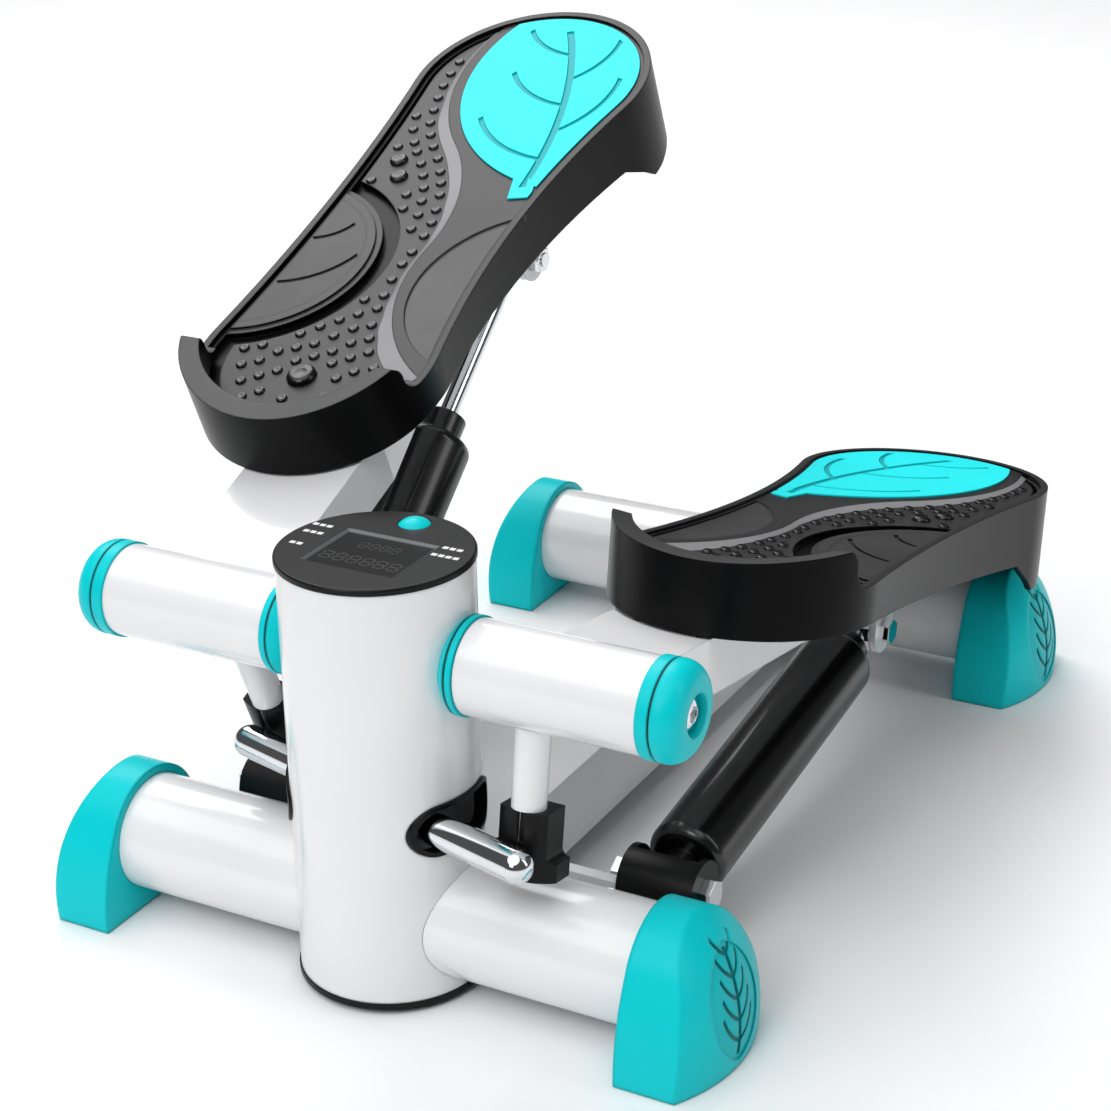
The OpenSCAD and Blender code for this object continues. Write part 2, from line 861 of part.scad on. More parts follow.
// Fixed collar between the column and a sleeve's inner end
module sleeve_collar(side) {
    from = sleeve_x - pass_gap;
    rim_from = from - collar_rim_w;
    groove_from = rim_from - cap_groove_w;
    dome_r = cap_r + cap_dome_l / 2;
    dome_mid = groove_from + sqrt(dome_r ^ 2 - cap_r ^ 2);
    color(teal)
        placed()
            translate([0, 0, axle_z])
                sided(side)
                    difference() {
                        union() {
                            rod_x_axis(2 * cap_r, rim_from, from);
                            rod_x_axis(2 * sleeve_r - 1, groove_from, rim_from);
                            ball_slice(dome_r, dome_mid, 0, groove_from, dome_r);
                        }
                        translate([0, 0, -2 * cap_r])
                            cylinder(d = column_d, h = 4 * cap_r);
                        rod_x_axis(axle_d, 0, from + over);
                    }
}

module rocker_post() {
    shoulder = rocker_z - hub_h / 2 - pass_gap;
    color(steel)
        placed()
            difference() {
                translate([0, rocker_y, tube_z]) {
                    cylinder(d = post_d, h = rocker_z + hub_h / 2 + 5 - tube_z);
                    cylinder(d = hub_d - 4, h = shoulder - tube_z);
                }
                front_tube_core();
            }
}

module rocker_clip() {
    from = rocker_z + hub_h / 2 + pass_gap;
    color(steel)
        placed()
            translate([0, rocker_y, from])
                difference() {
                    cylinder(d = hub_d - 6, h = 2);
                    translate([0, 0, -over])
                        cylinder(d = post_d, h = 2 + 2 * over);
                }
}

module slot_grommets() {
    color(black)
        placed()
            for (side = [-1, 1])
                sided(side)
                difference() {
                    intersection() {
                        slot_shape(0, 0, column_d);
                        translate([0, 0, rocker_z - slot_h])
                            cylinder(r = column_r + grommet_lip, h = 2 * slot_h);
                    }
                    slot_shape(grommet_t, -over, column_d + over);
                    translate([0, 0, rocker_z - slot_h - over])
                        cylinder(r = column_in_r - grommet_lip, h = 2 * slot_h + 2 * over);
                }
}

module stride_sensor() {
    front = rocker_y - hub_d / 2 - magnet_out - sensor_gap;
    color(black)
        placed()
            intersection() {
                translate([-sensor_w / 2, -column_r, rocker_z - sensor_h / 2])
                    cube([sensor_w, column_r + front, sensor_h]);
                cylinder(r = column_in_r, h = column_h);
            }
}

// Monitor

module monitor_housing() {
    color(black)
        placed()
            translate([0, 0, column_h])
                difference() {
                    union() {
                        rotate_extrude()
                            intersection() {
                                rounded_bar_profile(rim_r, -monitor_t, monitor_t, monitor_t / 3);
                                square([rim_r, monitor_t]);
                            }
                        translate([0, 0, -skirt_h])
                            difference() {
                                cylinder(r = column_in_r, h = skirt_h);
                                translate([0, 0, -over])
                                    cylinder(r = column_in_r - skirt_wall, h = skirt_h + over);
                            }
                    }
                    display_block(0, monitor_t - window_recess, monitor_t);
                    display_block(window_ledge, -over, monitor_t);
                    translate([0, button_y, -over])
                        cylinder(r = button_d / 2 + run_fit, h = monitor_t + 2 * over);
                }
}

// A block under the display window, drawn in by an inset
module display_block(inset, from, to) {
    translate([-window_w / 2 + inset, -window_front - window_d / 2 + inset, from])
        cube([window_w - 2 * inset, window_d - 2 * inset, to - from]);
}

module display_window() {
    color("#20262a")
        placed()
            translate([0, 0, column_h + monitor_t - window_recess])
                display_block(0, 0, window_t);
}

module display_panel() {
    color("#3a443c")
        placed()
            translate([0, 0, column_h - panel_h])
                display_block(window_ledge / 2, 0, panel_h);
}

// Round board that carries the panel and, under the button, its switch
module circuit_board() {
    switch_d = button_d * 0.4;
    switch_h = panel_h - pass_gap - button_flange - button_travel - pass_gap;
    color("#1f6b3a")
        placed()
            translate([0, 0, column_h - panel_h]) {
                translate([0, 0, -board_t])
                    cylinder(r = column_in_r - skirt_wall, h = board_t);
                translate([0, button_y, 0])
                    cylinder(d = switch_d, h = switch_h);
            }
}

module coin_cell() {
    color(steel)
        placed()
            translate([0, -window_front, column_h - panel_h - board_t - cell_t])
                cylinder(d = cell_d, h = cell_t);
}

// Domed button held under the rim: below the disc it clears the skirt
module mode_button() {
    top = monitor_t + button_rise;
    shoulder = button_travel + pass_gap;
    foot = -pass_gap - button_flange;
    color(teal)
        placed()
            translate([0, 0, column_h]) {
                intersection() {
                    translate([0, button_y, shoulder])
                        cylinder(d = button_d, h = top);
                    translate([0, button_y, top - button_dome_r])
                        sphere(r = button_dome_r);
                }
                intersection() {
                    translate([0, button_y, foot]) {
                        cylinder(d = button_d, h = shoulder - foot);
                        cylinder(d = button_d + 2 * button_flange, h = button_flange);
                    }
                    translate([0, 0, foot - over])
                        cylinder(r = column_in_r - skirt_wall - pass_gap, h = shoulder - foot + 2 * over);
                }
            }
}

// Rocker

module rocker_bar() {
    color(steel)
        on_rocker()
            difference() {
                union() {
                    rod_x_axis(bar_d, -bar_l / 2 + bar_d / 2, bar_l / 2 - bar_d / 2);
                    for (s = [-1, 1])
                        translate([s * (bar_l / 2 - bar_d / 2), 0, 0])
                            sphere(d = bar_d);
                    translate([0, 0, -hub_h / 2])
                        cylinder(d = hub_d, h = hub_h);
                }
                translate([0, 0, -hub_h])
                    cylinder(d = post_d + 2 * run_fit, h = 2 * hub_h);
                rod_y_axis(magnet_d, -hub_d, magnet_out - hub_d / 2);
            }
}

module sensor_magnet() {
    color(steel)
        on_rocker()
            rod_y_axis(magnet_d, -hub_d / 2 - magnet_out, magnet_out - hub_d / 2);
}

// Pedal arms

module sleeve(side) {
    color(white)
        on_arm(side)
            pipe_x_axis(sleeve_d, sleeve_d - 2 * sleeve_wall, sleeve_x, sleeve_end);
}

module sleeve_bushes(side) {
    color(steel)
        on_arm(side)
            for (from = [sleeve_x, sleeve_end - plug_l - bush_l])
                pipe_x_axis(sleeve_d - 2 * sleeve_wall, axle_d + 2 * run_fit, from, from + bush_l);
}

module outer_cap(side) {
    bore = axle_d + 2 * pass_gap;
    groove_from = sleeve_end + cap_rim_w;
    dome_from = groove_from + cap_groove_w;
    dome_to = dome_from + cap_dome_l;
    color(teal)
        on_arm(side)
            difference() {
                union() {
                    rod_x_axis(sleeve_d - 2 * sleeve_wall, sleeve_end - plug_l, sleeve_end);
                    rod_x_axis(2 * cap_r, sleeve_end, groove_from);
                    rod_x_axis(2 * sleeve_r - 1, groove_from, dome_from);
                    rotate([0, 90, 0])
                        rotate_extrude()
                            intersection() {
                                rounded_bar_profile(cap_r, dome_from - 2 * cap_round, dome_to, cap_round);
                                translate([0, dome_from])
                                    square([cap_r, cap_dome_l]);
                            }
                }
                rod_x_axis(bore, sleeve_end - plug_l - over, axle_end + pass_gap);
                rod_x_axis(cap_recess_d, axle_end, dome_to + over);
            }
}

module sleeve_core() {
    rod_x_axis(sleeve_d, sleeve_x - over, sleeve_end + over);
}

module arm(side) {
    low = arm_top - arm_h;
    color(white)
        on_arm(side)
            difference() {
                translate([0, 0, low])
                    linear_extrude(arm_h)
                        arm_plan(0);
                translate([0, 0, low + arm_wall])
                    linear_extrude(arm_h - 2 * arm_wall)
                        arm_plan(arm_wall);
                sleeve_core();
                screw_holes();
            }
}

// Plan of an arm, whose inner side draws in under the pedal
module arm_plan(inset) {
    inner = arm_x - arm_w / 2 + inset;
    outer = arm_x + arm_w / 2 - inset;
    polygon([
        [inner, -inset],
        [inner, taper_from],
        [inner + arm_taper, taper_to],
        [inner + arm_taper, arm_end - inset],
        [outer, arm_end - inset],
        [outer, -inset]
    ]);
}

module screw_holes() {
    for (y = screw_y)
        translate([arm_x, y, arm_top - arm_h - over])
            cylinder(d = screw_d, h = arm_h + rim_h);
}

module pedal_screws(side) {
    shank = arm_h + screw_grip;
    color(steel)
        on_arm(side)
            for (y = screw_y)
                translate([arm_x, y, arm_top - arm_h]) {
                    cylinder(d = screw_d, h = shank);
                    translate([0, 0, -0.65 * screw_d])
                        cylinder(d = 1.8 * screw_d, h = 0.65 * screw_d, $fn = 6);
                }
}

module drive_rod(side) {
    color(white)
        on_arm(side)
            difference() {
                translate([rod_x, 0, block_top - rod_seat])
                    cylinder(d = rod_d, h = rod_seat - block_top);
                sleeve_core();
                translate([arm_x - arm_w / 2, 0, arm_top - arm_h])
                    cube([arm_w, rod_d, arm_h]);
            }
}

// Block with a bowed front, waisted between its cap and its flared foot
module drive_block(side) {
    bow_r = block_w * 0.88;
    neck = block_h * 0.6;
    half = block_w / 2;
    color(black)
        on_arm(side)
            translate([rod_x, 0, block_top])
                difference() {
                    intersection() {
                        translate([0, block_back, 0])
                            rotate([90, 0, 0])
                                linear_extrude(block_back + block_front)
                                    difference() {
                                        translate([-half - block_flare, -block_h])
                                            square([block_w + 2 * block_flare, block_h]);
                                        for (s = [-1, 1]) {
                                            translate([s * (half + block_flare), -neck])
                                                circle(r = block_flare);
                                            translate([s * (half + block_flare / 2), -neck / 2])
                                                square([block_flare, neck], center = true);
                                        }
                                    }
                        translate([0, bow_r - block_front, -block_h])
                            cylinder(r = bow_r, h = block_h);
                    }
                    translate([0, 0, -rod_seat])
                        cylinder(d = rod_d, h = rod_seat + over);
                }
}

// Two ears under the arm that hold the upper damper bolt
module damper_tab(side) {
    inner = high_eye_w / 2 + pass_gap;
    low = arm_top - arm_h;
    ear_r = high_eye_d / 2;
    color(white)
        on_arm(side)
            difference() {
                union() {
                    translate([damper_x - inner - plate_t, high_y - ear_r, low - plate_t])
                        cube([2 * inner + 2 * plate_t, 2 * ear_r, plate_t]);
                    for (x = [damper_x - inner - plate_t, damper_x + inner]) {
                        translate([0, high_y, -high_drop])
                            rod_x_axis(2 * ear_r, x, x + plate_t);
                        translate([x, high_y - ear_r, -high_drop])
                            cube([plate_t, 2 * ear_r, high_drop + low]);
                    }
                }
                translate([0, high_y, -high_drop])
                    rod_x_axis(high_bolt_d, 0, 2 * damper_x);
            }
}

module upper_bolt(side) {
    outer = high_eye_w / 2 + pass_gap + plate_t;
    color(steel)
        on_arm(side)
            translate([damper_x, high_y, -high_drop])
                bolt_and_nut(high_bolt_d, -outer, outer);
}

// Pedals

// Side view of a pedal: its lower edge falls to the heel lip
module pedal_side() {
    lip = heel_y - 8;
    toe_edge = arm_top + 1;
    heel_edge = -lip_depth / 4;
    polygon([
        [toe_front - over, toe_edge],
        [toe_y, toe_edge + 2],
        [lip - 14, heel_edge],
        [lip, -lip_depth * 0.7],
        [lip + 7, -lip_depth],
        [lip + 16, -lip_depth],
        [heel_back + over, -lip_depth * 0.75],
        [heel_back + over, rim_h],
        [toe_front - over, rim_h]
    ]);
}

module across(profile_from, profile_to) {
    translate([profile_from, 0, 0])
        rotate([90, 0, 90])
            linear_extrude(profile_to - profile_from)
                children();
}

module deck_prism(inset, from, to) {
    translate([0, 0, from])
        linear_extrude(to - from)
            sole(inset);
}

// Guard round the toe: higher at its ends, which round over and run out into the rim
module toe_guard() {
    top = rim_h + guard_h + guard_rise;
    bow_r = (toe_r ^ 2 + guard_rise ^ 2) / (2 * guard_rise);
    difference() {
        intersection() {
            deck_prism(0, rim_h - over, top);
            across(0, 2 * toe_x)
                guard_side(top);
        }
        translate([0, guard_front, 0])
            deck_prism(guard_t, rim_h - 2 * over, top + over);
        translate([toe_x, 0, top - guard_rise + bow_r])
            rod_y_axis(2 * bow_r, 0, toe_y, $fn = 180);
    }
}

module guard_side(top) {
    end = guard_end - guard_runout;
    low = rim_h - over;
    translate([0, low])
        square([end - guard_round, top - low]);
    translate([0, low])
        square([end, top - guard_round - low]);
    translate([end - guard_round, top - guard_round])
        circle(r = guard_round);
    difference() {
        translate([end - over, low])
            square([guard_runout + over, guard_runout + over]);
        translate([guard_end, rim_h + guard_runout])
            circle(r = guard_runout);
    }
}

// Channel round the half leaf and along the outer side
module channel() {
    moat_r = half_leaf_r + 3;
    difference() {
        union() {
            translate(half_leaf)
                circle(r = moat_r + channel_w);
            translate([toe_x + 28, 0])
                square([2 * heel_r, heel_back]);
        }
        translate(half_leaf)
            circle(r = moat_r);
        difference() {
            union() {
                sole(rim_w + 1.5 + channel_w);
                intersection() {
                    sole(rim_w + 1.5 + channel_heel_w);
                    translate([0, half_leaf[1]])
                        square([2 * heel_x, heel_back]);
                }
            }
            translate(half_leaf)
                circle(r = moat_r + channel_w);
        }
    }
}

module half_leaf_shape() {
    intersection() {
        sole(rim_w + 1.5);
        translate(half_leaf)
            circle(r = half_leaf_r);
    }
}

module half_leaf_veins() {
    for (i = [0:1]) {
        l = 38 - 18 * i;
        base = half_leaf + [-18, 33 * i - 17];
        bowed_bar(base, base + l * [-0.74, 0.67], pad_vein_w * 0.6, l * vein_bulge);
    }
}

// Leaf with a short stem at its toe end
module pad_shape(inset) {
    intersection() {
        sole(rim_w + 2 + inset);
        union() {
            translate(pad_arc)
                circle(r = pad_arc_r - inset, $fn = 180);
            stroke_square(pad_stem - stem_l * pad_way, pad_stem + stem_w * pad_way, stem_w - 2 * inset);
        }
    }
}

// Smooth raised panel on the inner side of the deck, round the leaf pad and the dish
module panel_shape() {
    pad_edge_r = pad_arc_r + panel_band;
    blend = touch_centre(panel, panel_r, pad_arc, pad_edge_r, panel_blend_r, -1);
    intersection() {
        sole(rim_w - over);
        difference() {
            union() {
                translate(pad_arc)
                    circle(r = pad_edge_r, $fn = 180);
                translate(panel)
                    circle(r = panel_r, $fn = 180);
                polygon([
                    panel,
                    toward(panel, blend, panel_r),
                    toward(pad_arc, blend, pad_edge_r),
                    pad_arc
                ]);
            }
            translate(blend)
                circle(r = panel_blend_r);
        }
    }
}

module dish_shape() {
    intersection() {
        sole(rim_w + 1.5);
        translate(dish)
            circle(r = dish_r);
    }
}

// Veins of the leaf pad: they leave its bowed midrib by turns, outward and inward
module pad_veins() {
    inward = [-pad_way[1], pad_way[0]];
    vein_w = 0.7 * pad_vein_w;
    bowed_bar(pad_stem, pad_stem + pad_rib_l * pad_way, pad_vein_w, pad_rib_bow);
    for (i = [0:4]) {
        share = (i + 1) / 6;
        bow = 4 * pad_rib_bow * share * (1 - share);
        root = pad_stem + share * pad_rib_l * pad_way + bow * inward;
        l = pad_rib_l * (0.44 - 0.2 * share);
        lean = pad_rib_lean + (i % 2 == 0 ? 44 : -32);
        tip = root + l * [sin(lean), cos(lean)];
        if (i % 2 == 0)
            bowed_bar(tip, root, vein_w, l * vein_bulge);
        else
            bowed_bar(root, tip, vein_w, l * vein_bulge);
    }
}

module deck_ribs() {
    inner = arm_x - arm_w / 2 + arm_taper + rib_t;
    outer = arm_x + arm_w / 2 - 2 * rib_t;
    intersection() {
        deck_prism(skirt_t / 2, arm_top, deck_low + over);
        union() {
            for (x = [inner, outer])
                translate([x, toe_front, arm_top])
                    cube([rib_t, arm_end - toe_front, deck_low - arm_top + over]);
            for (i = [0:3])
                translate([0, toe_y + i * (heel_y - toe_y) / 3, arm_top + rib_t])
                    cube([2 * heel_x, rib_t, deck_low - arm_top]);
        }
    }
    for (y = screw_y)
        translate([arm_x, y, arm_top])
            cylinder(d = 2.6 * screw_d, h = deck_low - arm_top + over);
}

module pedal(side) {
    color(black)
        on_arm(side)
            difference() {
                union() {
                    difference() {
                        intersection() {
                            deck_prism(0, -lip_depth - over, rim_h);
                            across(0, 2 * heel_x)
                                pedal_side();
                        }
                        deck_prism(skirt_t, -lip_depth - 2 * over, deck_low);
                        deck_prism(rim_w, deck_h, rim_h + over);
                    }
                    toe_guard();
                    translate([0, 0, deck_h - over])
                        linear_extrude(over + half_leaf_raise)
                            half_leaf_shape();
                    translate([0, 0, deck_h - over])
                        linear_extrude(over + panel_raise)
                            panel_shape();
                    deck_ribs();
                }
                translate([0, 0, deck_h - channel_depth])
                    linear_extrude(channel_depth + over)
                        intersection() {
                            channel();
                            sole(rim_w + 1.5);
                        }
                translate([0, 0, deck_h + half_leaf_raise - pad_vein_depth])
                    linear_extrude(2 * over)
                        half_leaf_veins();
                translate([0, 0, pad_low])
                    linear_extrude(pad_t + over)
                        pad_shape(0);
                translate([0, 0, deck_h + panel_raise - dish_depth])
                    linear_extrude(dish_depth + over)
                        dish_shape();
                translate([0, 0, -over])
                    for (y = screw_y)
                        translate([arm_x, y, arm_top])
                            cylinder(d = screw_d, h = screw_grip + over);
            }
}

module leaf_pad(side) {
    color(teal)
        on_arm(side)
            difference() {
                translate([0, 0, pad_low])
                    linear_extrude(pad_t)
                        pad_shape(0);
                translate([0, 0, pad_low + pad_t - pad_vein_depth])
                    linear_extrude(pad_vein_depth + over)
                        intersection() {
                            pad_veins();
                            pad_shape(pad_vein_w);
                        }
            }
}

// Dampers

module barrel(side) {
    bore_r = barrel_d / 2 - barrel_wall;
    color(black)
        on_damper(side)
            difference() {
                union() {
                    rotate([-90, 0, 0])
                        rotate_extrude()
                            rounded_bar_profile(barrel_d / 2, barrel_from, barrel_to, barrel_round);
                    rod_y_axis(low_eye_d * 0.7, 0, barrel_from + barrel_round);
                    rod_x_axis(low_eye_d, -low_eye_w / 2, low_eye_w / 2);
                }
                rod_y_axis(2 * bore_r, barrel_from + 2 * barrel_wall, barrel_to + over);
                rod_x_axis(low_bolt_d + 2 * run_fit, -low_eye_w, low_eye_w);
            }
}

module gland(side) {
    bore_r = barrel_d / 2 - barrel_wall;
    color(black)
        on_damper(side)
            difference() {
                union() {
                    rod_y_axis(2 * bore_r, barrel_to - gland_plug_l, barrel_to);
                    rotate([-90, 0, 0])
                        rotate_extrude()
                            rounded_bar_profile(gland_d / 2, barrel_to - 2, barrel_to + gland_l, 1);
                }
                rod_y_axis(piston_rod_d + 2 * run_fit, 0, 2 * barrel_to);
            }
}

module piston_rod(side) {
    eye = damper_l(side_angle(side));
    color(steel)
        on_damper(side)
            difference() {
                union() {
                    rod_y_axis(piston_rod_d, eye - rod_l, eye);
                    translate([0, eye, 0])
                        rod_x_axis(high_eye_d, -high_eye_w / 2, high_eye_w / 2);
                }
                translate([0, eye, 0])
                    rod_x_axis(high_eye_bore, -high_eye_w, high_eye_w);
            }
}

module piston(side) {
    from = damper_l(side_angle(side)) - rod_l;
    bore_r = barrel_d / 2 - barrel_wall;
    color(steel)
        on_damper(side)
            difference() {
                rod_y_axis(2 * bore_r - 2 * run_fit, from, from + piston_t);
                rod_y_axis(piston_rod_d, from - over, from + piston_t + over);
            }
}

cross_tube(0);  // front_cross_tube
cross_tube(wheelbase);  // rear_cross_tube
spine_beam();
column_tube();
column_base_cap();
foot(-1, 0);  // foot_front_left
foot(1, 0);  // foot_front_right
foot(-1, wheelbase);  // foot_rear_left
foot(1, wheelbase);  // foot_rear_right
strut_plates();
damper_bracket(-1);  // damper_bracket_left
damper_bracket(1);  // damper_bracket_right
lower_bolts();
pivot_axle();
axle_bolts();
sleeve_collar(-1);  // sleeve_collar_left
sleeve_collar(1);  // sleeve_collar_right
rocker_post();
rocker_clip();
slot_grommets();
stride_sensor();
monitor_housing();
display_window();
display_panel();
circuit_board();
coin_cell();
mode_button();
rocker_bar();
sensor_magnet();
sleeve(-1);  // sleeve_left
sleeve_bushes(-1);  // sleeve_bushes_left
outer_cap(-1);  // outer_cap_left
arm(-1);  // arm_left
drive_rod(-1);  // drive_rod_left
drive_block(-1);  // drive_block_left
damper_tab(-1);  // damper_tab_left
upper_bolt(-1);  // upper_bolt_left
pedal(-1);  // pedal_left
leaf_pad(-1);  // leaf_pad_left
pedal_screws(-1);  // pedal_screws_left
sleeve(1);  // sleeve_right
sleeve_bushes(1);  // sleeve_bushes_right
outer_cap(1);  // outer_cap_right
arm(1);  // arm_right
drive_rod(1);  // drive_rod_right
drive_block(1);  // drive_block_right
damper_tab(1);  // damper_tab_right
upper_bolt(1);  // upper_bolt_right
pedal(1);  // pedal_right
leaf_pad(1);  // leaf_pad_right
pedal_screws(1);  // pedal_screws_right
barrel(-1);  // barrel_left
gland(-1);  // gland_left
barrel(1);  // barrel_right
gland(1);  // gland_right
piston_rod(-1);  // piston_rod_left
piston_rod(1);  // piston_rod_right
piston(-1);  // piston_left
piston(1);  // piston_right
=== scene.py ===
"""Looks of the stepper: finishes for its solids, and the fine pieces that the solids leave out."""

import json
import math

import bmesh
import bpy
from mathutils import Matrix, Vector
from mathutils.bvhtree import BVHTree


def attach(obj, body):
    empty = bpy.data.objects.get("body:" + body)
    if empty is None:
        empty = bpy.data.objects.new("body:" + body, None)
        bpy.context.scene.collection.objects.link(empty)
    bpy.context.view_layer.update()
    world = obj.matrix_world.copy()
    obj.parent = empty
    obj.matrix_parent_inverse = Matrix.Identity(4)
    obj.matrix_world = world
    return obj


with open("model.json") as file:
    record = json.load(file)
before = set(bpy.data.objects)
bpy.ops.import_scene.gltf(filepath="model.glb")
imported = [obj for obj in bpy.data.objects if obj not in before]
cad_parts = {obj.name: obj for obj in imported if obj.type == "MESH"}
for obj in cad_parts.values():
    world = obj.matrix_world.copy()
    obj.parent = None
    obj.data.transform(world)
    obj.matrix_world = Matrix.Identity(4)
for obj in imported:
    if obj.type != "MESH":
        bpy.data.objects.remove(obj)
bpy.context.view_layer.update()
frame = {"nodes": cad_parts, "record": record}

MM = 0.001
MID_Y = 183.05
AXLE = Vector((0, -MID_Y, 144)) * MM
SIDES = {"left": (-1, math.radians(22.5)), "right": (1, math.radians(-9.5))}

# Pedal, in its arm's frame: across, along and over the axle, in millimetres
CHANNEL_TOP = 22.0
DECK_H = 23.5
HALF_LEAF_H = 24.5
PANEL_H = 24.7
PAD_H = 25.5
TREAD_TOP = 32.0
HALF_LEAF = Vector((162, 188))
HALF_LEAF_R = 53
LEAF_LINE_IN = 4.5
LEAF_LINE_W = 1.6
DISH = Vector((20, 188))
DISH_R = 58

# Edge of the raised panel: two large arcs, an arc that blends them, and the ways to its ends
PANEL = Vector((0.5, 197.5))
PANEL_R = 85
PANEL_END = Vector((0.2, -0.98))
PAD_ARC = Vector((36.4, 352.4))
PAD_EDGE_R = 101.4
PAD_END = Vector((0.9, 0.44))
BLEND_R = 100

# Width of the step round the panel, at stations along the pedal
STEP_WIDTHS = ((110, 10), (140, 9), (152, 7), (164, 4.5), (178, 2.8), (205, 2.6), (225, 4.2),
               (245, 6), (270, 6.8), (298, 6), (320, 3.6), (350, 2.6), (400, 2.2))

# Massage dots: rows beside the step, and three larger dots as across, along and radius
DOT_R = 2.6
DOT_PITCH = 10.4
DOT_GAP = 4.9
DOT_MARGIN = 0.2
FIRST_ROW = 3.5
ROW_PITCH = 8.2
ROWS = 14
BIG_DOTS = ((97.6, 115, 7.0), (133.6, 268, 4.6), (127, 256, 4.6))

# Domed end of a foot, in the world's frame: its ball, and the leaf carved into it
DOME = Vector((87.5, 0, 10.0))
FEET_MIDDLE_Y = 0.95
FEET_HALF_SPAN = 184
LEAF = Vector((0, 26, 0))
LEAF_REACH = 24.0
LEAF_FROM_X = 139.5
VEIN_FLOOR_R = 68.7
LEAF_FLOOR_R = 69.4

# Grooves of the caps and collars
CAP_GROOVE_X = 126.5
COLLAR_GROOVE_X = 40.6
GROOVE_R = 19.3
GROOVE_W = 0.9

# Monitor, in the column's frame: window as left, right, front and rear, and what is printed round it
MONITOR_TOP = 184.6
WINDOW_TOP = 183.7
WINDOW = (-21, 21, -20.5, 13.5)
BEVEL_W = 1.4
DIGIT_ROWS = ((3.2, 5.0, 4), (-10.5, 6.4, 6))
MARK_ROWS = ((-31.5, 11.5, 3), (-31, 4, 3), (-31, -8, 2), (27, 13, 3), (28, 5.5, 4))
MARK_PITCH = 3.2
MARK_SIZE = (2.4, 2.2)

# Floor and camera, in metres and degrees; the camera is fitted to the photograph
FLOOR_HALF = 90
FLOOR_Z = -0.0005
CAMERA_PLACE = (0.4821, -0.9084, 0.55025)
CAMERA_TURN = (29.054, 23.075, -1.152)
CAMERA_LENS = 79.58
CAMERA_SENSOR = 36


# Shader and mesh helpers

def linear(colour):
    """An sRGB hex value as the linear colour that a shader takes."""
    parts = [int(colour[i:i + 2], 16) / 255 for i in (1, 3, 5)]
    return [v / 12.92 if v <= 0.04045 else ((v + 0.055) / 1.055) ** 2.4 for v in parts] + [1]


def put(tree, kind, inputs=None, **settings):
    """Adds a node: settings are its own fields, inputs are values or the outputs that feed its sockets."""
    node = tree.nodes.new(kind)
    for name, value in settings.items():
        setattr(node, name, value)
    for name, value in (inputs or {}).items():
        if isinstance(value, bpy.types.NodeSocket):
            tree.links.new(value, node.inputs[name])
        else:
            node.inputs[name].default_value = value
    return node


def blank(name):
    """An empty material, its tree, and its texture coordinates."""
    made = bpy.data.materials.new(name)
    made.use_nodes = True
    made.node_tree.nodes.clear()
    return made, made.node_tree, put(made.node_tree, "ShaderNodeTexCoord")


def surface(tree, colour, gloss, grain, grain_depth_mm, edge_mm, sockets, edge_samples=4):
    """Ends a finish: softly rounded edges, a fine relief and the shader."""
    edge = put(tree, "ShaderNodeBevel", {"Radius": edge_mm * MM}, samples=edge_samples)
    relief = put(tree, "ShaderNodeBump", {
        "Height": grain, "Distance": grain_depth_mm * MM, "Normal": edge.outputs["Normal"]})
    shader = put(tree, "ShaderNodeBsdfPrincipled", {
        "Base Color": colour, "Roughness": gloss, "Normal": relief.outputs["Normal"], **sockets})
    put(tree, "ShaderNodeOutputMaterial", {"Surface": shader.outputs[0]})


def finish(name, tints, tint_mm, rough, grain_mm, grain_depth_mm, sockets=None, edge_mm=0.6):
    """A finish whose colour drifts between two tints, and its gloss with a fine grain."""
    made, tree, where = blank(name)
    place = where.outputs["Object"]
    drift = put(tree, "ShaderNodeTexNoise", {"Vector": place, "Scale": 1000 / tint_mm, "Detail": 3})
    colour = put(tree, "ShaderNodeMix", {
        0: drift.outputs["Fac"], 6: linear(tints[0]), 7: linear(tints[1])}, data_type="RGBA")
    grain = put(tree, "ShaderNodeTexNoise", {"Vector": place, "Scale": 1000 / grain_mm, "Detail": 2})
    gloss = put(tree, "ShaderNodeMapRange", {
        "Value": grain.outputs["Fac"], "To Min": rough[0], "To Max": rough[1]})
    surface(tree, colour.outputs[2], gloss.outputs["Result"], grain.outputs["Fac"], grain_depth_mm, edge_mm,
            sockets or {})
    return made


def mesh_object(name, corners, faces, material):
    mesh = bpy.data.meshes.new(name)
    mesh.from_pydata([tuple(c) for c in corners], [], faces)
    mesh.materials.append(material)
    made = bpy.data.objects.new(name, mesh)
    bpy.context.scene.collection.objects.link(made)
    return made


def outward(made):
    """Merges doubles and turns every face outward."""
    shell = bmesh.new()
    shell.from_mesh(made.data)
    bmesh.ops.remove_doubles(shell, verts=shell.verts, dist=1e-7)
    bmesh.ops.recalc_face_normals(shell, faces=shell.faces)
    shell.to_mesh(made.data)
    shell.free()


def smooth(made, degrees=40):
    made.data.shade_smooth()
    made.data.set_sharp_from_angle(angle=math.radians(degrees))


def join(name, pieces):
    """One object from several meshes."""
    whole = bmesh.new()
    materials = []
    for piece in pieces:
        first = len(whole.faces)
        whole.from_mesh(piece.data)
        whole.faces.ensure_lookup_table()
        if piece.data.materials[0] not in materials:
            materials.append(piece.data.materials[0])
        for face in whole.faces[first:]:
            face.material_index = materials.index(piece.data.materials[0])
        bpy.data.objects.remove(piece)
    mesh = bpy.data.meshes.new(name)
    whole.to_mesh(mesh)
    whole.free()
    for material in materials:
        mesh.materials.append(material)
    made = bpy.data.objects.new(name, mesh)
    bpy.context.scene.collection.objects.link(made)
    return made


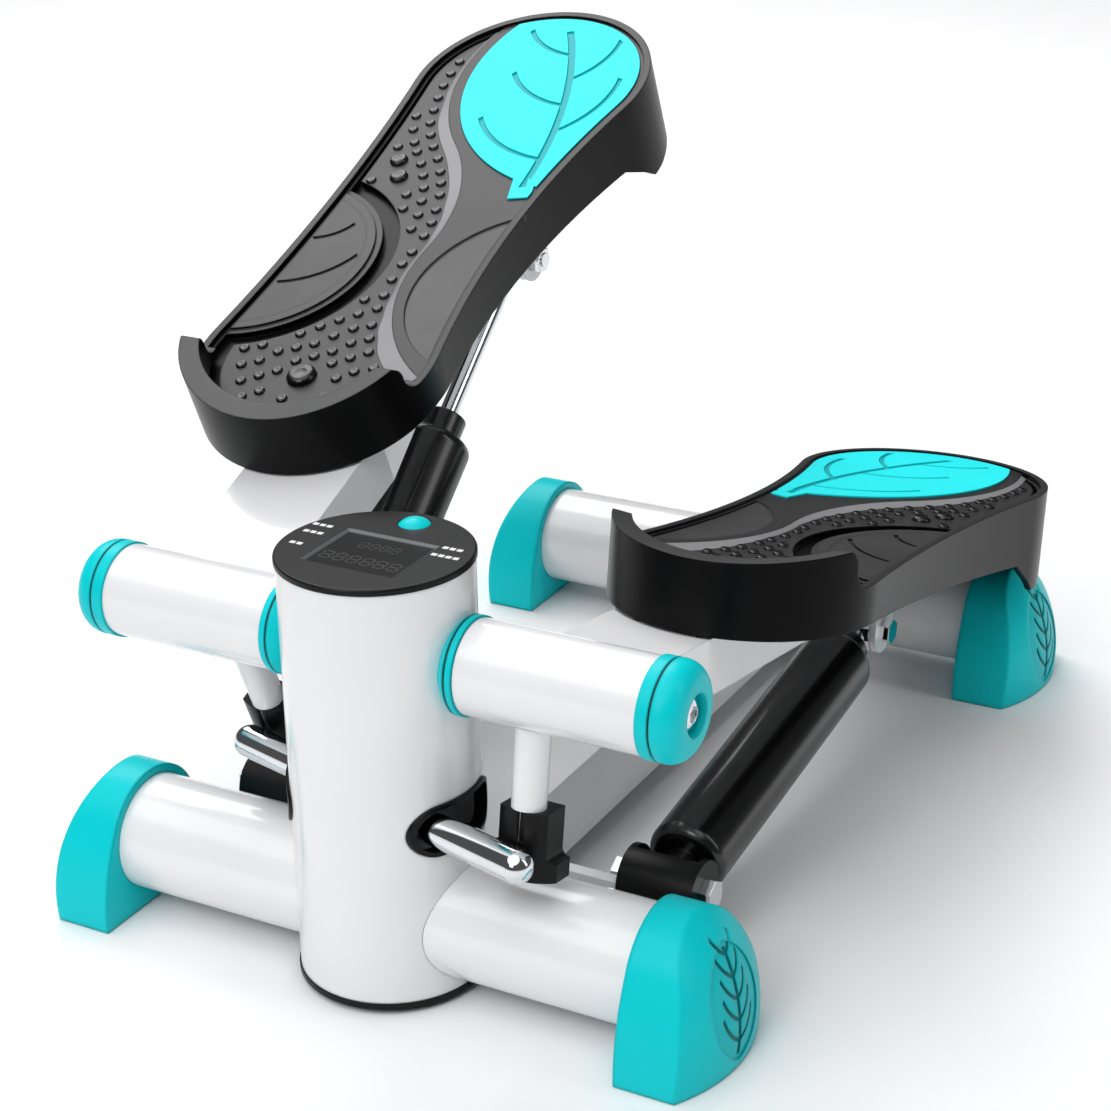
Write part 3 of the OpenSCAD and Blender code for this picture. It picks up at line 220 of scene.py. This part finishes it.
def on_arm(side, x, u, h):
    """World place of a point in an arm's frame."""
    sign, tilt = SIDES[side]
    return AXLE + Vector((sign * x, u * math.cos(tilt) - h * math.sin(tilt),
                          u * math.sin(tilt) + h * math.cos(tilt))) * MM


def over_arm(side):
    """Direction straight off an arm's deck."""
    tilt = SIDES[side][1]
    return Vector((0, -math.sin(tilt), math.cos(tilt)))


# Finishes

# Gloss powder coat on steel tube: clean white, with a faint orange peel that softens reflections
powder_coat = finish("powder_coat_white", ("#e6e6e8", "#efeff0"), 80, (0.16, 0.24), 2.4, 0.012,
                     {"Coat Weight": 0.4, "Coat Roughness": 0.06}, 1.0)
# Moulded ABS: even teal with a soft satin sheen and the fine spark texture of its mould
teal_abs = finish("moulded_teal_abs", ("#02c6cd", "#06d2d8"), 45, (0.3, 0.4), 0.9, 0.012,
                  {"Specular IOR Level": 0.15}, 1.5)
# Glass-filled nylon: near black and satin, a little mottled
black_nylon = finish("satin_black_nylon", ("#060607", "#0c0c0d"), 30, (0.3, 0.4), 0.8, 0.012,
                     {"Specular IOR Level": 0.2})
# Baked gloss enamel on the damper tubes: deep black with long clean highlights
black_enamel = finish("gloss_black_enamel", ("#020203", "#060606"), 60, (0.26, 0.32), 2.0, 0.006,
                      {"Coat Weight": 0.3, "Coat Roughness": 0.08}, 0.8)
# Bright chrome plate: mirror-like, with the slight waviness of polished steel
chrome_plate = finish("chrome_plate", ("#d2d5d8", "#e8eaec"), 25, (0.04, 0.08), 4.0, 0.004,
                      {"Metallic": 1.0})
# Zinc plate on small steel parts: paler and duller than chrome
zinc_plate = finish("zinc_plated_steel", ("#a8acb0", "#c4c7ca"), 12, (0.2, 0.3), 1.2, 0.005,
                    {"Metallic": 1.0})
# Acetal: off-white, waxy bearing plastic
acetal = finish("acetal_bush", ("#dad6ca", "#e6e2d8"), 15, (0.35, 0.45), 0.9, 0.006)
# Smoked acrylic: nearly black, with a soft reflection
smoked_acrylic = finish("smoked_acrylic", ("#040405", "#070708"), 20, (0.3, 0.36), 5.0, 0.002,
                        {"Specular IOR Level": 0.1})
# Liquid crystal glass: grey-green and dull
crystal_glass = finish("liquid_crystal_glass", ("#39423b", "#444d45"), 8, (0.2, 0.3), 1.0, 0.002)
# Solder mask on a circuit board: green, half glossy
solder_mask = finish("solder_mask_green", ("#17562f", "#226b3d"), 6, (0.25, 0.4), 1.0, 0.01)
# The step round the raised panel: the same moulded plastic, painted pale grey as the highlight that lies
# along its bevel
highlight_step_paint = finish("grey_step_painted_highlight", ("#7d7d7f", "#89898b"), 20, (0.36, 0.46), 0.8, 0.01,
                   {"Specular IOR Level": 0.3}, 0.3)
# Massage dots: moulded with the deck and glossier than it, painted near black as the shade that rings each
# dot
dot_shade_paint = finish("dot_painted_shade_plastic", ("#050506", "#0b0b0c"), 9, (0.24, 0.32), 0.9, 0.006,
                     edge_mm=0.2)
# Shadow line of a moulded groove
groove_paint = finish("dark_teal_groove", ("#04282a", "#063436"), 9, (0.4, 0.5), 0.9, 0.006, edge_mm=0.2)
# Screen-printed ink: flat white, slightly broken
white_ink = finish("screen_print_ink", ("#d9dadb", "#f0f0f0"), 2, (0.5, 0.6), 0.4, 0.004, edge_mm=0.1)
# Dark segments of the display, seen through the smoked window
segment_ink = finish("display_segment", ("#121416", "#181b1d"), 3, (0.3, 0.4), 0.6, 0.002, edge_mm=0.1)
# Satin grey bevel round the window
bevel_grey = finish("satin_grey_bevel", ("#55585a", "#626568"), 6, (0.25, 0.35), 0.6, 0.004, edge_mm=0.1)


def arm_coordinates(tree, where, side):
    """Across, along and over an arm, in millimetres, and how far a face looks off the deck."""
    tilt = SIDES[side][1]
    turned = put(tree, "ShaderNodeMapping", {
        "Vector": where.outputs["Object"], "Location": AXLE, "Rotation": (tilt, 0, 0)}, vector_type="TEXTURE")
    scaled = put(tree, "ShaderNodeVectorMath", {0: turned.outputs[0], "Scale": 1000}, operation="SCALE")
    parts = put(tree, "ShaderNodeSeparateXYZ", {0: scaled.outputs[0]})
    across = put(tree, "ShaderNodeMath", {0: parts.outputs["X"]}, operation="ABSOLUTE")
    flat = put(tree, "ShaderNodeVectorMath", {
        0: where.outputs["Normal"], 1: over_arm(side)}, operation="DOT_PRODUCT")
    return across.outputs[0], parts.outputs["Y"], parts.outputs["Z"], flat.outputs["Value"]


def pedal_plastic(side):
    """Moulded polypropylene: satin black skirt, and a matt tread whose levels have greys that are partly
    their own tone and partly painted light, laid only on faces that look up.
    """
    made, tree, where = blank("moulded_pedal_" + side)
    place = where.outputs["Object"]
    across, along, over, flat = arm_coordinates(tree, where, side)
    level = put(tree, "ShaderNodeMapRange", {"Value": over, "From Min": CHANNEL_TOP, "From Max": TREAD_TOP})
    tread = put(tree, "ShaderNodeValToRGB", {"Fac": level.outputs["Result"]})
    ramp = tread.color_ramp
    ramp.interpolation = "CONSTANT"
    # From the deck up: dotted deck, dish, half leaf, panel, rim and the guard's upper edge
    ramp.elements[0].color = linear("#262627")
    ramp.elements[1].position = 0.172
    ramp.elements[1].color = linear("#414142")
    for share, tint in ((0.22, "#323233"), (0.26, "#151516"), (0.32, "#050506"), (0.8, "#333334")):
        ramp.elements.new(share).color = linear(tint)

    # The tread's greys go on what looks off the deck, and on the low wall round the dish; walls of the same
    # plastic keep the skirt's black, so the lighter tops are partly painted light
    upper = put(tree, "ShaderNodeMapRange", {"Value": flat, "From Min": 0.6, "From Max": 0.8})
    high = put(tree, "ShaderNodeMath", {0: over, 1: CHANNEL_TOP}, operation="GREATER_THAN")
    spot = put(tree, "ShaderNodeCombineXYZ", {"X": across, "Y": along})
    from_dish = put(tree, "ShaderNodeVectorMath", {
        0: spot.outputs[0], 1: (*DISH, 0)}, operation="DISTANCE")
    dish_wall = put(tree, "ShaderNodeMath", {
        0: from_dish.outputs["Value"], 1: DISH_R, 2: 0.5}, operation="COMPARE")
    lit = put(tree, "ShaderNodeMath", {
        0: upper.outputs["Result"], 1: dish_wall.outputs[0]}, operation="MAXIMUM")
    tread_share = put(tree, "ShaderNodeMath", {0: lit.outputs[0], 1: high.outputs[0]}, operation="MULTIPLY")

    drift = put(tree, "ShaderNodeTexNoise", {"Vector": place, "Scale": 40, "Detail": 3})
    skirt = put(tree, "ShaderNodeMix", {
        0: drift.outputs["Fac"], 6: linear("#040405"), 7: linear("#09090a")}, data_type="RGBA")
    worn = put(tree, "ShaderNodeMix", {
        0: drift.outputs["Fac"], 6: tread.outputs["Color"], 7: linear("#505052")},
        data_type="RGBA", blend_type="SOFT_LIGHT")
    base = put(tree, "ShaderNodeMix", {
        0: tread_share.outputs[0], 6: skirt.outputs[2], 7: worn.outputs[2]}, data_type="RGBA")

    # A painted shadow line, the shade of a thin groove, runs round the half leaf, a little inside its edge
    reach = put(tree, "ShaderNodeVectorMath", {
        0: spot.outputs[0], 1: (*HALF_LEAF, 0)}, operation="DISTANCE")
    ring = put(tree, "ShaderNodeMath", {
        0: reach.outputs["Value"], 1: HALF_LEAF_R - LEAF_LINE_IN, 2: LEAF_LINE_W / 2}, operation="COMPARE")
    leaf_level = put(tree, "ShaderNodeMath", {0: over, 1: HALF_LEAF_H, 2: 0.12}, operation="COMPARE")
    line = put(tree, "ShaderNodeMath", {0: ring.outputs[0], 1: leaf_level.outputs[0]}, operation="MULTIPLY")
    colour = put(tree, "ShaderNodeMix", {
        0: line.outputs[0], 6: base.outputs[2], 7: linear("#0c0c0d")}, data_type="RGBA")

    grain = put(tree, "ShaderNodeTexNoise", {"Vector": place, "Scale": 1000 / 0.9, "Detail": 2})
    gloss = put(tree, "ShaderNodeMapRange", {"Value": tread_share.outputs[0], "To Min": 0.3, "To Max": 0.5})
    sheen = put(tree, "ShaderNodeMapRange", {"Value": tread_share.outputs[0], "To Min": 0.1, "To Max": 0.5})
    surface(tree, colour.outputs[2], gloss.outputs["Result"], grain.outputs["Fac"], 0.014, 1.0,
            {"Specular IOR Level": sheen.outputs["Result"]})
    return made


def leaf_rubber(side):
    """Soft thermoplastic rubber: bright matt cyan, painted a darker teal below its top face as the shade in
    the floor of its veins and on its low sides.
    """
    made, tree, where = blank("leaf_rubber_" + side)
    place = where.outputs["Object"]
    over = arm_coordinates(tree, where, side)[2]
    # Painted shade: faces below the pad's top, in the veins and on the sides, get a darker teal.
    raised = put(tree, "ShaderNodeMapRange", {
        "Value": over, "From Min": PAD_H - 0.7, "From Max": PAD_H - 0.2})
    drift = put(tree, "ShaderNodeTexNoise", {"Vector": place, "Scale": 25, "Detail": 3})
    face = put(tree, "ShaderNodeMix", {
        0: drift.outputs["Fac"], 6: linear("#0ce0e6"), 7: linear("#14ebf0")}, data_type="RGBA")
    colour = put(tree, "ShaderNodeMix", {
        0: raised.outputs["Result"], 6: linear("#08a9b0"), 7: face.outputs[2]}, data_type="RGBA")
    grain = put(tree, "ShaderNodeTexNoise", {"Vector": place, "Scale": 1000 / 0.7, "Detail": 2})
    gloss = put(tree, "ShaderNodeMapRange", {"Value": grain.outputs["Fac"], "To Min": 0.48, "To Max": 0.6})
    surface(tree, colour.outputs[2], gloss.outputs["Result"], grain.outputs["Fac"], 0.02, 0.5,
            {"Specular IOR Level": 0.25})
    return made


def foot_plastic():
    """The same ABS as the caps, with broad soft edges and painted shade, a darker teal, in the veins of its
    carved leaf.
    """
    made, tree, where = blank("moulded_teal_foot")
    place = where.outputs["Object"]
    scaled = put(tree, "ShaderNodeVectorMath", {0: place, "Scale": 1000}, operation="SCALE")
    parts = put(tree, "ShaderNodeSeparateXYZ", {0: scaled.outputs[0]})
    across = put(tree, "ShaderNodeMath", {0: parts.outputs["X"]}, operation="ABSOLUTE")
    from_middle = put(tree, "ShaderNodeMath", {0: parts.outputs["Y"], 1: FEET_MIDDLE_Y}, operation="SUBTRACT")
    apart = put(tree, "ShaderNodeMath", {0: from_middle.outputs[0]}, operation="ABSOLUTE")
    beside = put(tree, "ShaderNodeMath", {0: apart.outputs[0], 1: FEET_HALF_SPAN}, operation="SUBTRACT")
    spot = put(tree, "ShaderNodeCombineXYZ", {
        "X": across.outputs[0], "Y": beside.outputs[0], "Z": parts.outputs["Z"]})
    reach = put(tree, "ShaderNodeVectorMath", {0: spot.outputs[0], 1: DOME}, operation="DISTANCE")
    carved = put(tree, "ShaderNodeMapRange", {
        "Value": reach.outputs["Value"], "From Min": VEIN_FLOOR_R, "From Max": LEAF_FLOOR_R,
        "To Min": 1.0, "To Max": 0.0})
    on_end = put(tree, "ShaderNodeCombineXYZ", {"X": beside.outputs[0], "Y": parts.outputs["Z"]})
    off_leaf = put(tree, "ShaderNodeVectorMath", {0: on_end.outputs[0], 1: LEAF}, operation="DISTANCE")
    on_leaf = put(tree, "ShaderNodeMath", {
        0: off_leaf.outputs["Value"], 1: LEAF_REACH}, operation="LESS_THAN")
    outside = put(tree, "ShaderNodeMath", {0: across.outputs[0], 1: LEAF_FROM_X}, operation="GREATER_THAN")
    within = put(tree, "ShaderNodeMath", {0: on_leaf.outputs[0], 1: outside.outputs[0]}, operation="MULTIPLY")
    # Painted shade: the carved veins and leaf floor are painted a darker teal.
    depth = put(tree, "ShaderNodeMath", {
        0: carved.outputs["Result"], 1: within.outputs[0]}, operation="MULTIPLY")
    drift = put(tree, "ShaderNodeTexNoise", {"Vector": place, "Scale": 1000 / 45, "Detail": 3})
    face = put(tree, "ShaderNodeMix", {
        0: drift.outputs["Fac"], 6: linear("#02c6cd"), 7: linear("#06d2d8")}, data_type="RGBA")
    colour = put(tree, "ShaderNodeMix", {
        0: depth.outputs[0], 6: face.outputs[2], 7: linear("#02777c")}, data_type="RGBA")
    grain = put(tree, "ShaderNodeTexNoise", {"Vector": place, "Scale": 1000 / 0.9, "Detail": 2})
    gloss = put(tree, "ShaderNodeMapRange", {"Value": grain.outputs["Fac"], "To Min": 0.3, "To Max": 0.4})
    surface(tree, colour.outputs[2], gloss.outputs["Result"], grain.outputs["Fac"], 0.012, 3.0,
            {"Specular IOR Level": 0.15}, edge_samples=6)
    return made


foot_abs = foot_plastic()
SLOT_FINISH = {
    "frame_white": powder_coat, "teal_plastic": teal_abs, "black_plastic": black_nylon,
    "damper_black": black_enamel, "chrome": chrome_plate, "steel": zinc_plate, "bush": acetal,
    "window": smoked_acrylic, "display": crystal_glass, "board": solder_mask,
}
slot_of = {part["node"]: part["material_slot"] for part in frame["record"]["subparts"]}
for node, made in frame["nodes"].items():
    side = node.rsplit("_", 1)[-1]
    if slot_of[node] == "pedal_black":
        material = pedal_plastic(side)
    elif slot_of[node] == "leaf_teal":
        material = leaf_rubber(side)
    elif node.startswith("foot_"):
        material = foot_abs
    else:
        material = SLOT_FINISH[slot_of[node]]
    made.data.materials.clear()
    made.data.materials.append(material)


# Step round the raised panel: one run of arcs, laid as a bevel

def touch_point(centre, other, reach):
    return centre + (other - centre).normalized() * reach


def arc(centre, radius, start, end, count):
    """Points on an arc between two points of its circle, the short way round."""
    first = math.atan2(*reversed(start - centre))
    turn = (math.atan2(*reversed(end - centre)) - first + math.pi) % (2 * math.pi) - math.pi
    return [centre + radius * Vector((math.cos(first + turn * i / count), math.sin(first + turn * i / count)))
            for i in range(count + 1)]


def blend_centre():
    """Centre of the arc that joins the panel's two large arcs from outside."""
    a, b = PANEL_R + BLEND_R, PAD_EDGE_R + BLEND_R
    span = (PAD_ARC - PANEL).length
    along = (a * a - b * b + span * span) / (2 * span)
    ahead = (PAD_ARC - PANEL) / span
    return PANEL + ahead * along + Vector((ahead.y, -ahead.x)) * math.sqrt(a * a - along * along)


BLEND = blend_centre()
LOW_TOUCH = touch_point(PANEL, BLEND, PANEL_R)
HIGH_TOUCH = touch_point(PAD_ARC, BLEND, PAD_EDGE_R)
PANEL_EDGE = (arc(PANEL, PANEL_R, PANEL + PANEL_END * PANEL_R, LOW_TOUCH, 60)
              + arc(BLEND, BLEND_R, LOW_TOUCH, HIGH_TOUCH, 40)[1:]
              + arc(PAD_ARC, PAD_EDGE_R, HIGH_TOUCH, PAD_ARC + PAD_END * PAD_EDGE_R, 50)[1:])


def outward_ways(line):
    """Unit ways to the outer side at each point of a line."""
    last = len(line) - 1
    ways = [(line[min(i + 1, last)] - line[max(i - 1, 0)]).normalized() for i in range(last + 1)]
    return [Vector((way.y, -way.x)) for way in ways]


def step_width(along):
    """Width of the step at a station along the pedal."""
    for (a, wide_a), (b, wide_b) in zip(STEP_WIDTHS, STEP_WIDTHS[1:]):
        if along <= b:
            share = min(max((along - a) / (b - a), 0), 1)
            return wide_a + (wide_b - wide_a) * share * share * (3 - 2 * share)
    return STEP_WIDTHS[-1][1]


EDGE_WAYS = outward_ways(PANEL_EDGE)
STEP_FOOT = [point + way * step_width(point.y) for point, way in zip(PANEL_EDGE, EDGE_WAYS)]


def deck_probe(side):
    """A test of whether a point of the tread lies at the deck's own level."""
    mesh = frame["nodes"]["pedal_" + side].data
    solid = BVHTree.FromPolygons([v.co for v in mesh.vertices], [tuple(p.vertices) for p in mesh.polygons])
    up = over_arm(side)

    def on_deck(x, u):
        hit = solid.ray_cast(on_arm(side, x, u, 70), -up)[0]
        return hit is not None and abs((hit - AXLE).dot(up) / MM - DECK_H) < 0.08

    return on_deck


def step_band(side, on_deck):
    shown = [i for i, foot in enumerate(STEP_FOOT) if on_deck(*foot)]
    run = range(shown[0], shown[-1] + 1)
    corners, faces = [], []
    for i in run:
        corners.append(on_arm(side, *PANEL_EDGE[i], PANEL_H + 0.02))
        corners.append(on_arm(side, *STEP_FOOT[i], DECK_H + 0.05))
        corners.append(on_arm(side, *PANEL_EDGE[i], DECK_H - 0.3))
    last = 3 * (len(run) - 1)
    for a in range(0, last, 3):
        b = a + 3
        faces += [(a, a + 1, b + 1, b), (a + 1, a + 2, b + 2, b + 1), (a + 2, a, b, b + 2)]
    faces += [(0, 2, 1), (last, last + 1, last + 2)]
    # The band wears the pale painted highlight of the step's bevel.
    band = mesh_object("panel_step_" + side, corners, faces, highlight_step_paint)
    outward(band)
    smooth(band, 30)
    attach(band, side + "_arm")


# Massage dots: one dimpled dome on every free spot, in staggered rows that follow the step

def dot_tree():
    tree = bpy.data.node_groups.new("massage_dots", "GeometryNodeTree")
    for name, kind, way in (
            ("Geometry", "NodeSocketGeometry", "INPUT"), ("Height share", "NodeSocketFloat", "INPUT"),
            ("Dimple", "NodeSocketFloat", "INPUT"), ("Tilt", "NodeSocketFloat", "INPUT"),
            ("Plastic", "NodeSocketMaterial", "INPUT"), ("Geometry", "NodeSocketGeometry", "OUTPUT")):
        tree.interface.new_socket(name, in_out=way, socket_type=kind)
    given = put(tree, "NodeGroupInput")
    ball = put(tree, "GeometryNodeMeshUVSphere", {"Segments": 12, "Rings": 8, "Radius": 1.0})
    place = put(tree, "GeometryNodeInputPosition")
    height = put(tree, "ShaderNodeSeparateXYZ", {0: place.outputs[0]})
    top = put(tree, "ShaderNodeMath", {0: height.outputs["Z"], 1: 0.9}, operation="GREATER_THAN")
    drop = put(tree, "ShaderNodeMath", {0: top.outputs[0], 1: given.outputs["Dimple"]}, operation="MULTIPLY")
    squashed = put(tree, "ShaderNodeMath", {0: height.outputs["Z"], 1: given.outputs["Height share"]},
                   operation="MULTIPLY")
    dented = put(tree, "ShaderNodeMath", {0: squashed.outputs[0], 1: drop.outputs[0]}, operation="SUBTRACT")
    moved = put(tree, "ShaderNodeCombineXYZ", {"X": height.outputs["X"], "Y": height.outputs["Y"],
                                               "Z": dented.outputs[0]})
    dome = put(tree, "GeometryNodeSetPosition", {
        "Geometry": ball.outputs["Mesh"], "Position": moved.outputs[0]})
    softened = put(tree, "GeometryNodeSetShadeSmooth", {"Geometry": dome.outputs[0]})
    turn = put(tree, "ShaderNodeCombineXYZ", {"X": given.outputs["Tilt"]})
    size = put(tree, "GeometryNodeInputNamedAttribute", {"Name": "reach"}, data_type="FLOAT")
    spread = put(tree, "GeometryNodeInstanceOnPoints", {
        "Points": given.outputs["Geometry"], "Instance": softened.outputs[0], "Rotation": turn.outputs[0],
        "Scale": size.outputs["Attribute"]})
    real = put(tree, "GeometryNodeRealizeInstances", {"Geometry": spread.outputs[0]})
    painted = put(tree, "GeometryNodeSetMaterial", {
        "Geometry": real.outputs[0], "Material": given.outputs["Plastic"]})
    put(tree, "NodeGroupOutput", {"Geometry": painted.outputs[0]})
    return tree


def free_spots(on_deck):
    """Staggered places in rows beside the step, where a dot has flat deck all round it."""
    spots = list(BIG_DOTS)
    for row in range(ROWS):
        line = [foot + way * (FIRST_ROW + row * ROW_PITCH) for foot, way in zip(STEP_FOOT, EDGE_WAYS)]
        left = DOT_PITCH * (0.25 + 0.5 * (row % 2))
        for a, b in zip(line, line[1:]):
            left -= (b - a).length
            if left > 0:
                continue
            left += DOT_PITCH
            around = [b + Vector((math.cos(k), math.sin(k))) * (DOT_R + DOT_MARGIN) for k in range(7)]
            apart = all((b - Vector(spot[:2])).length > DOT_GAP + spot[2] for spot in spots)
            if apart and all(on_deck(*p) for p in around):
                spots.append((b.x, b.y, DOT_R))
    return spots


def massage_dots(side, tree, on_deck):
    spots = free_spots(on_deck)
    mesh = bpy.data.meshes.new("dot_places_" + side)
    mesh.from_pydata([on_arm(side, x, u, DECK_H) for x, u, _ in spots], [], [])
    reach = mesh.attributes.new("reach", "FLOAT", "POINT")
    reach.data.foreach_set("value", [r * MM for _, _, r in spots])
    places = bpy.data.objects.new("dot_places_" + side, mesh)
    bpy.context.scene.collection.objects.link(places)
    spread = places.modifiers.new("dots", "NODES")
    spread.node_group = tree
    # The dots take their near-black painted shade.
    wanted = {"Height share": 0.66, "Dimple": 0.3, "Tilt": SIDES[side][1], "Plastic": dot_shade_paint}
    for socket in tree.interface.items_tree:
        if socket.in_out == "INPUT" and socket.name in wanted:
            spread[socket.identifier] = wanted[socket.name]
    ready = places.evaluated_get(bpy.context.evaluated_depsgraph_get())
    dots = bpy.data.objects.new("massage_dots_" + side, bpy.data.meshes.new_from_object(ready))
    bpy.context.scene.collection.objects.link(dots)
    places.modifiers.remove(spread)
    bpy.data.objects.remove(places)
    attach(dots, side + "_arm")


tree = dot_tree()
for side in SIDES:
    probe = deck_probe(side)
    step_band(side, probe)
    massage_dots(side, tree, probe)


# Shadow line in the groove of each cap and collar

def groove_ring(name, x, body):
    corners, faces = [], []
    around, across = 64, 8
    for i in range(around):
        a = 2 * math.pi * i / around
        for k in range(across):
            b = 2 * math.pi * k / across
            r = GROOVE_R + 0.5 * GROOVE_W * math.cos(b)
            spot = (x + 0.5 * GROOVE_W * math.sin(b), r * math.cos(a), r * math.sin(a))
            corners.append(AXLE + Vector(spot) * MM)
    for i in range(around):
        for k in range(across):
            n, m = (i + 1) % around, (k + 1) % across
            faces.append((i * across + k, n * across + k, n * across + m, i * across + m))
    ring = mesh_object(name, corners, faces, groove_paint)
    outward(ring)
    smooth(ring, 60)
    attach(ring, body)


for side, (sign, _) in SIDES.items():
    groove_ring("cap_line_" + side, sign * CAP_GROOVE_X, side + "_arm")
    groove_ring("collar_line_" + side, sign * COLLAR_GROOVE_X, "base")


# Monitor: bevel round the window, faint segments under it and plain printed marks beside it

def plate(name, outline, low, high, material):
    """An upright prism over a flat outline, in the column's frame."""
    count = len(outline)
    corners = [Vector((x, y - MID_Y, z)) * MM for z in (low, high) for x, y in outline]
    faces = [tuple(range(count, 2 * count)), tuple(reversed(range(count)))]
    faces += [(i, (i + 1) % count, count + (i + 1) % count, count + i) for i in range(count)]
    made = mesh_object(name, corners, faces, material)
    outward(made)
    return made


def rectangle(x, y, w, d):
    return [(x - w / 2, y - d / 2), (x + w / 2, y - d / 2), (x + w / 2, y + d / 2), (x - w / 2, y + d / 2)]


def window_bevel():
    x0, x1, y0, y1 = WINDOW
    outer = [(x0, y0), (x1, y0), (x1, y1), (x0, y1)]
    w = BEVEL_W
    inner = [(x0 + w, y0 + w), (x1 - w, y0 + w), (x1 - w, y1 - w), (x0 + w, y1 - w)]
    rings = [(outer, MONITOR_TOP - 0.02), (inner, WINDOW_TOP + 0.02), (outer, WINDOW_TOP + 0.01)]
    corners = [Vector((x, y - MID_Y, z)) * MM for ring, z in rings for x, y in ring]
    faces = []
    for i in range(4):
        n = (i + 1) % 4
        faces += [(i, n, 4 + n, 4 + i), (4 + i, 4 + n, 8 + n, 8 + i), (8 + i, 8 + n, n, i)]
    bevel = mesh_object("window_bevel", corners, faces, bevel_grey)
    outward(bevel)
    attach(bevel, "base")


def display_segments():
    """Two rows of seven-bar digits, all bars equally faint."""
    bars = []
    for row, size, count in DIGIT_ROWS:
        pitch = size * 0.95
        for i in range(count):
            x = (i - (count - 1) / 2) * pitch
            for dx, dy, w, d in ((0, size / 2, 0.5, 0.1), (0, 0, 0.5, 0.1), (0, -size / 2, 0.5, 0.1),
                                 (-0.32, size / 4, 0.1, 0.36), (0.32, size / 4, 0.1, 0.36),
                                 (-0.32, -size / 4, 0.1, 0.36), (0.32, -size / 4, 0.1, 0.36)):
                bars.append(plate("bar", rectangle(x + dx * size, row + dy, w * size, d * size),
                                  WINDOW_TOP + 0.005, WINDOW_TOP + 0.05, segment_ink))
    digits = join("display_segments", bars)
    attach(digits, "base")


def printed_marks():
    """Rows of plain blocks where a monitor lists its readings."""
    blocks = []
    for x, y, count in MARK_ROWS:
        for part in range(count):
            middle = x + MARK_PITCH * (part - (count - 1) / 2)
            blocks.append(plate("block", rectangle(middle, y, *MARK_SIZE),
                                MONITOR_TOP + 0.005, MONITOR_TOP + 0.04, white_ink))
    marks = join("reading_marks", blocks)
    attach(marks, "base")


window_bevel()
display_segments()
printed_marks()


# Studio: pale floor, soft light and the camera

floor_paint = finish("matt_floor", ("#f1f1f2", "#f4f4f5"), 400, (0.8, 0.9), 5, 0.01)
half, low = FLOOR_HALF, FLOOR_Z
floor = mesh_object("floor", [(-half, -half, low), (half, -half, low), (half, half, low), (-half, half, low)],
                    [(0, 1, 2, 3)], floor_paint)

world = bpy.data.worlds.new("studio")
bpy.context.scene.world = world
world.use_nodes = True
world.node_tree.nodes["Background"].inputs["Color"].default_value = linear("#f4f6f8")
world.node_tree.nodes["Background"].inputs["Strength"].default_value = 0.1

for name, kind, place, aim, size, power in (
        ("sky", "SUN", (-0.2, -1.0, 2.4), (0, 0, 0), (math.radians(70), 0), 1.9),
        ("key_softbox", "AREA", (-0.1, -2.1, 1.5), (0, 0, 0.1), (0.8, 1.2), 14),
        ("rear_softbox", "AREA", (-1.1, 0.95, 2.0), (0, 0, 0.15), (1.6, 1.6), 36),
        ("side_strip", "AREA", (1.7, 0.2, 1.2), (0, 0, 0.12), (0.4, 1.6), 6)):
    lamp = bpy.data.lights.new(name, kind)
    if kind == "SUN":
        lamp.angle = size[0]
    else:
        lamp.shape = "RECTANGLE"
        lamp.size, lamp.size_y = size
    lamp.energy = power
    holder = bpy.data.objects.new(name, lamp)
    holder.location = place
    holder.rotation_euler = (Vector(aim) - Vector(place)).to_track_quat("-Z", "Y").to_euler()
    bpy.context.scene.collection.objects.link(holder)

azimuth, elevation, roll = (math.radians(v) for v in CAMERA_TURN)
ahead = Vector((-math.sin(azimuth), math.cos(azimuth), 0))
right = Vector((math.cos(azimuth), math.sin(azimuth), 0))
up = ahead * math.sin(elevation) + Vector((0, 0, math.cos(elevation)))
back = -ahead * math.cos(elevation) + Vector((0, 0, math.sin(elevation)))
x_axis = math.cos(roll) * right + math.sin(roll) * up
y_axis = -math.sin(roll) * right + math.cos(roll) * up
lens = bpy.data.cameras.new("camera")
lens.lens = CAMERA_LENS
lens.sensor_width = CAMERA_SENSOR
camera = bpy.data.objects.new("camera", lens)
turn = Matrix((x_axis, y_axis, back)).transposed().to_4x4()
camera.matrix_world = Matrix.Translation(CAMERA_PLACE) @ turn
bpy.context.scene.collection.objects.link(camera)
bpy.context.scene.camera = camera
bpy.context.scene.view_settings.view_transform = "Standard"
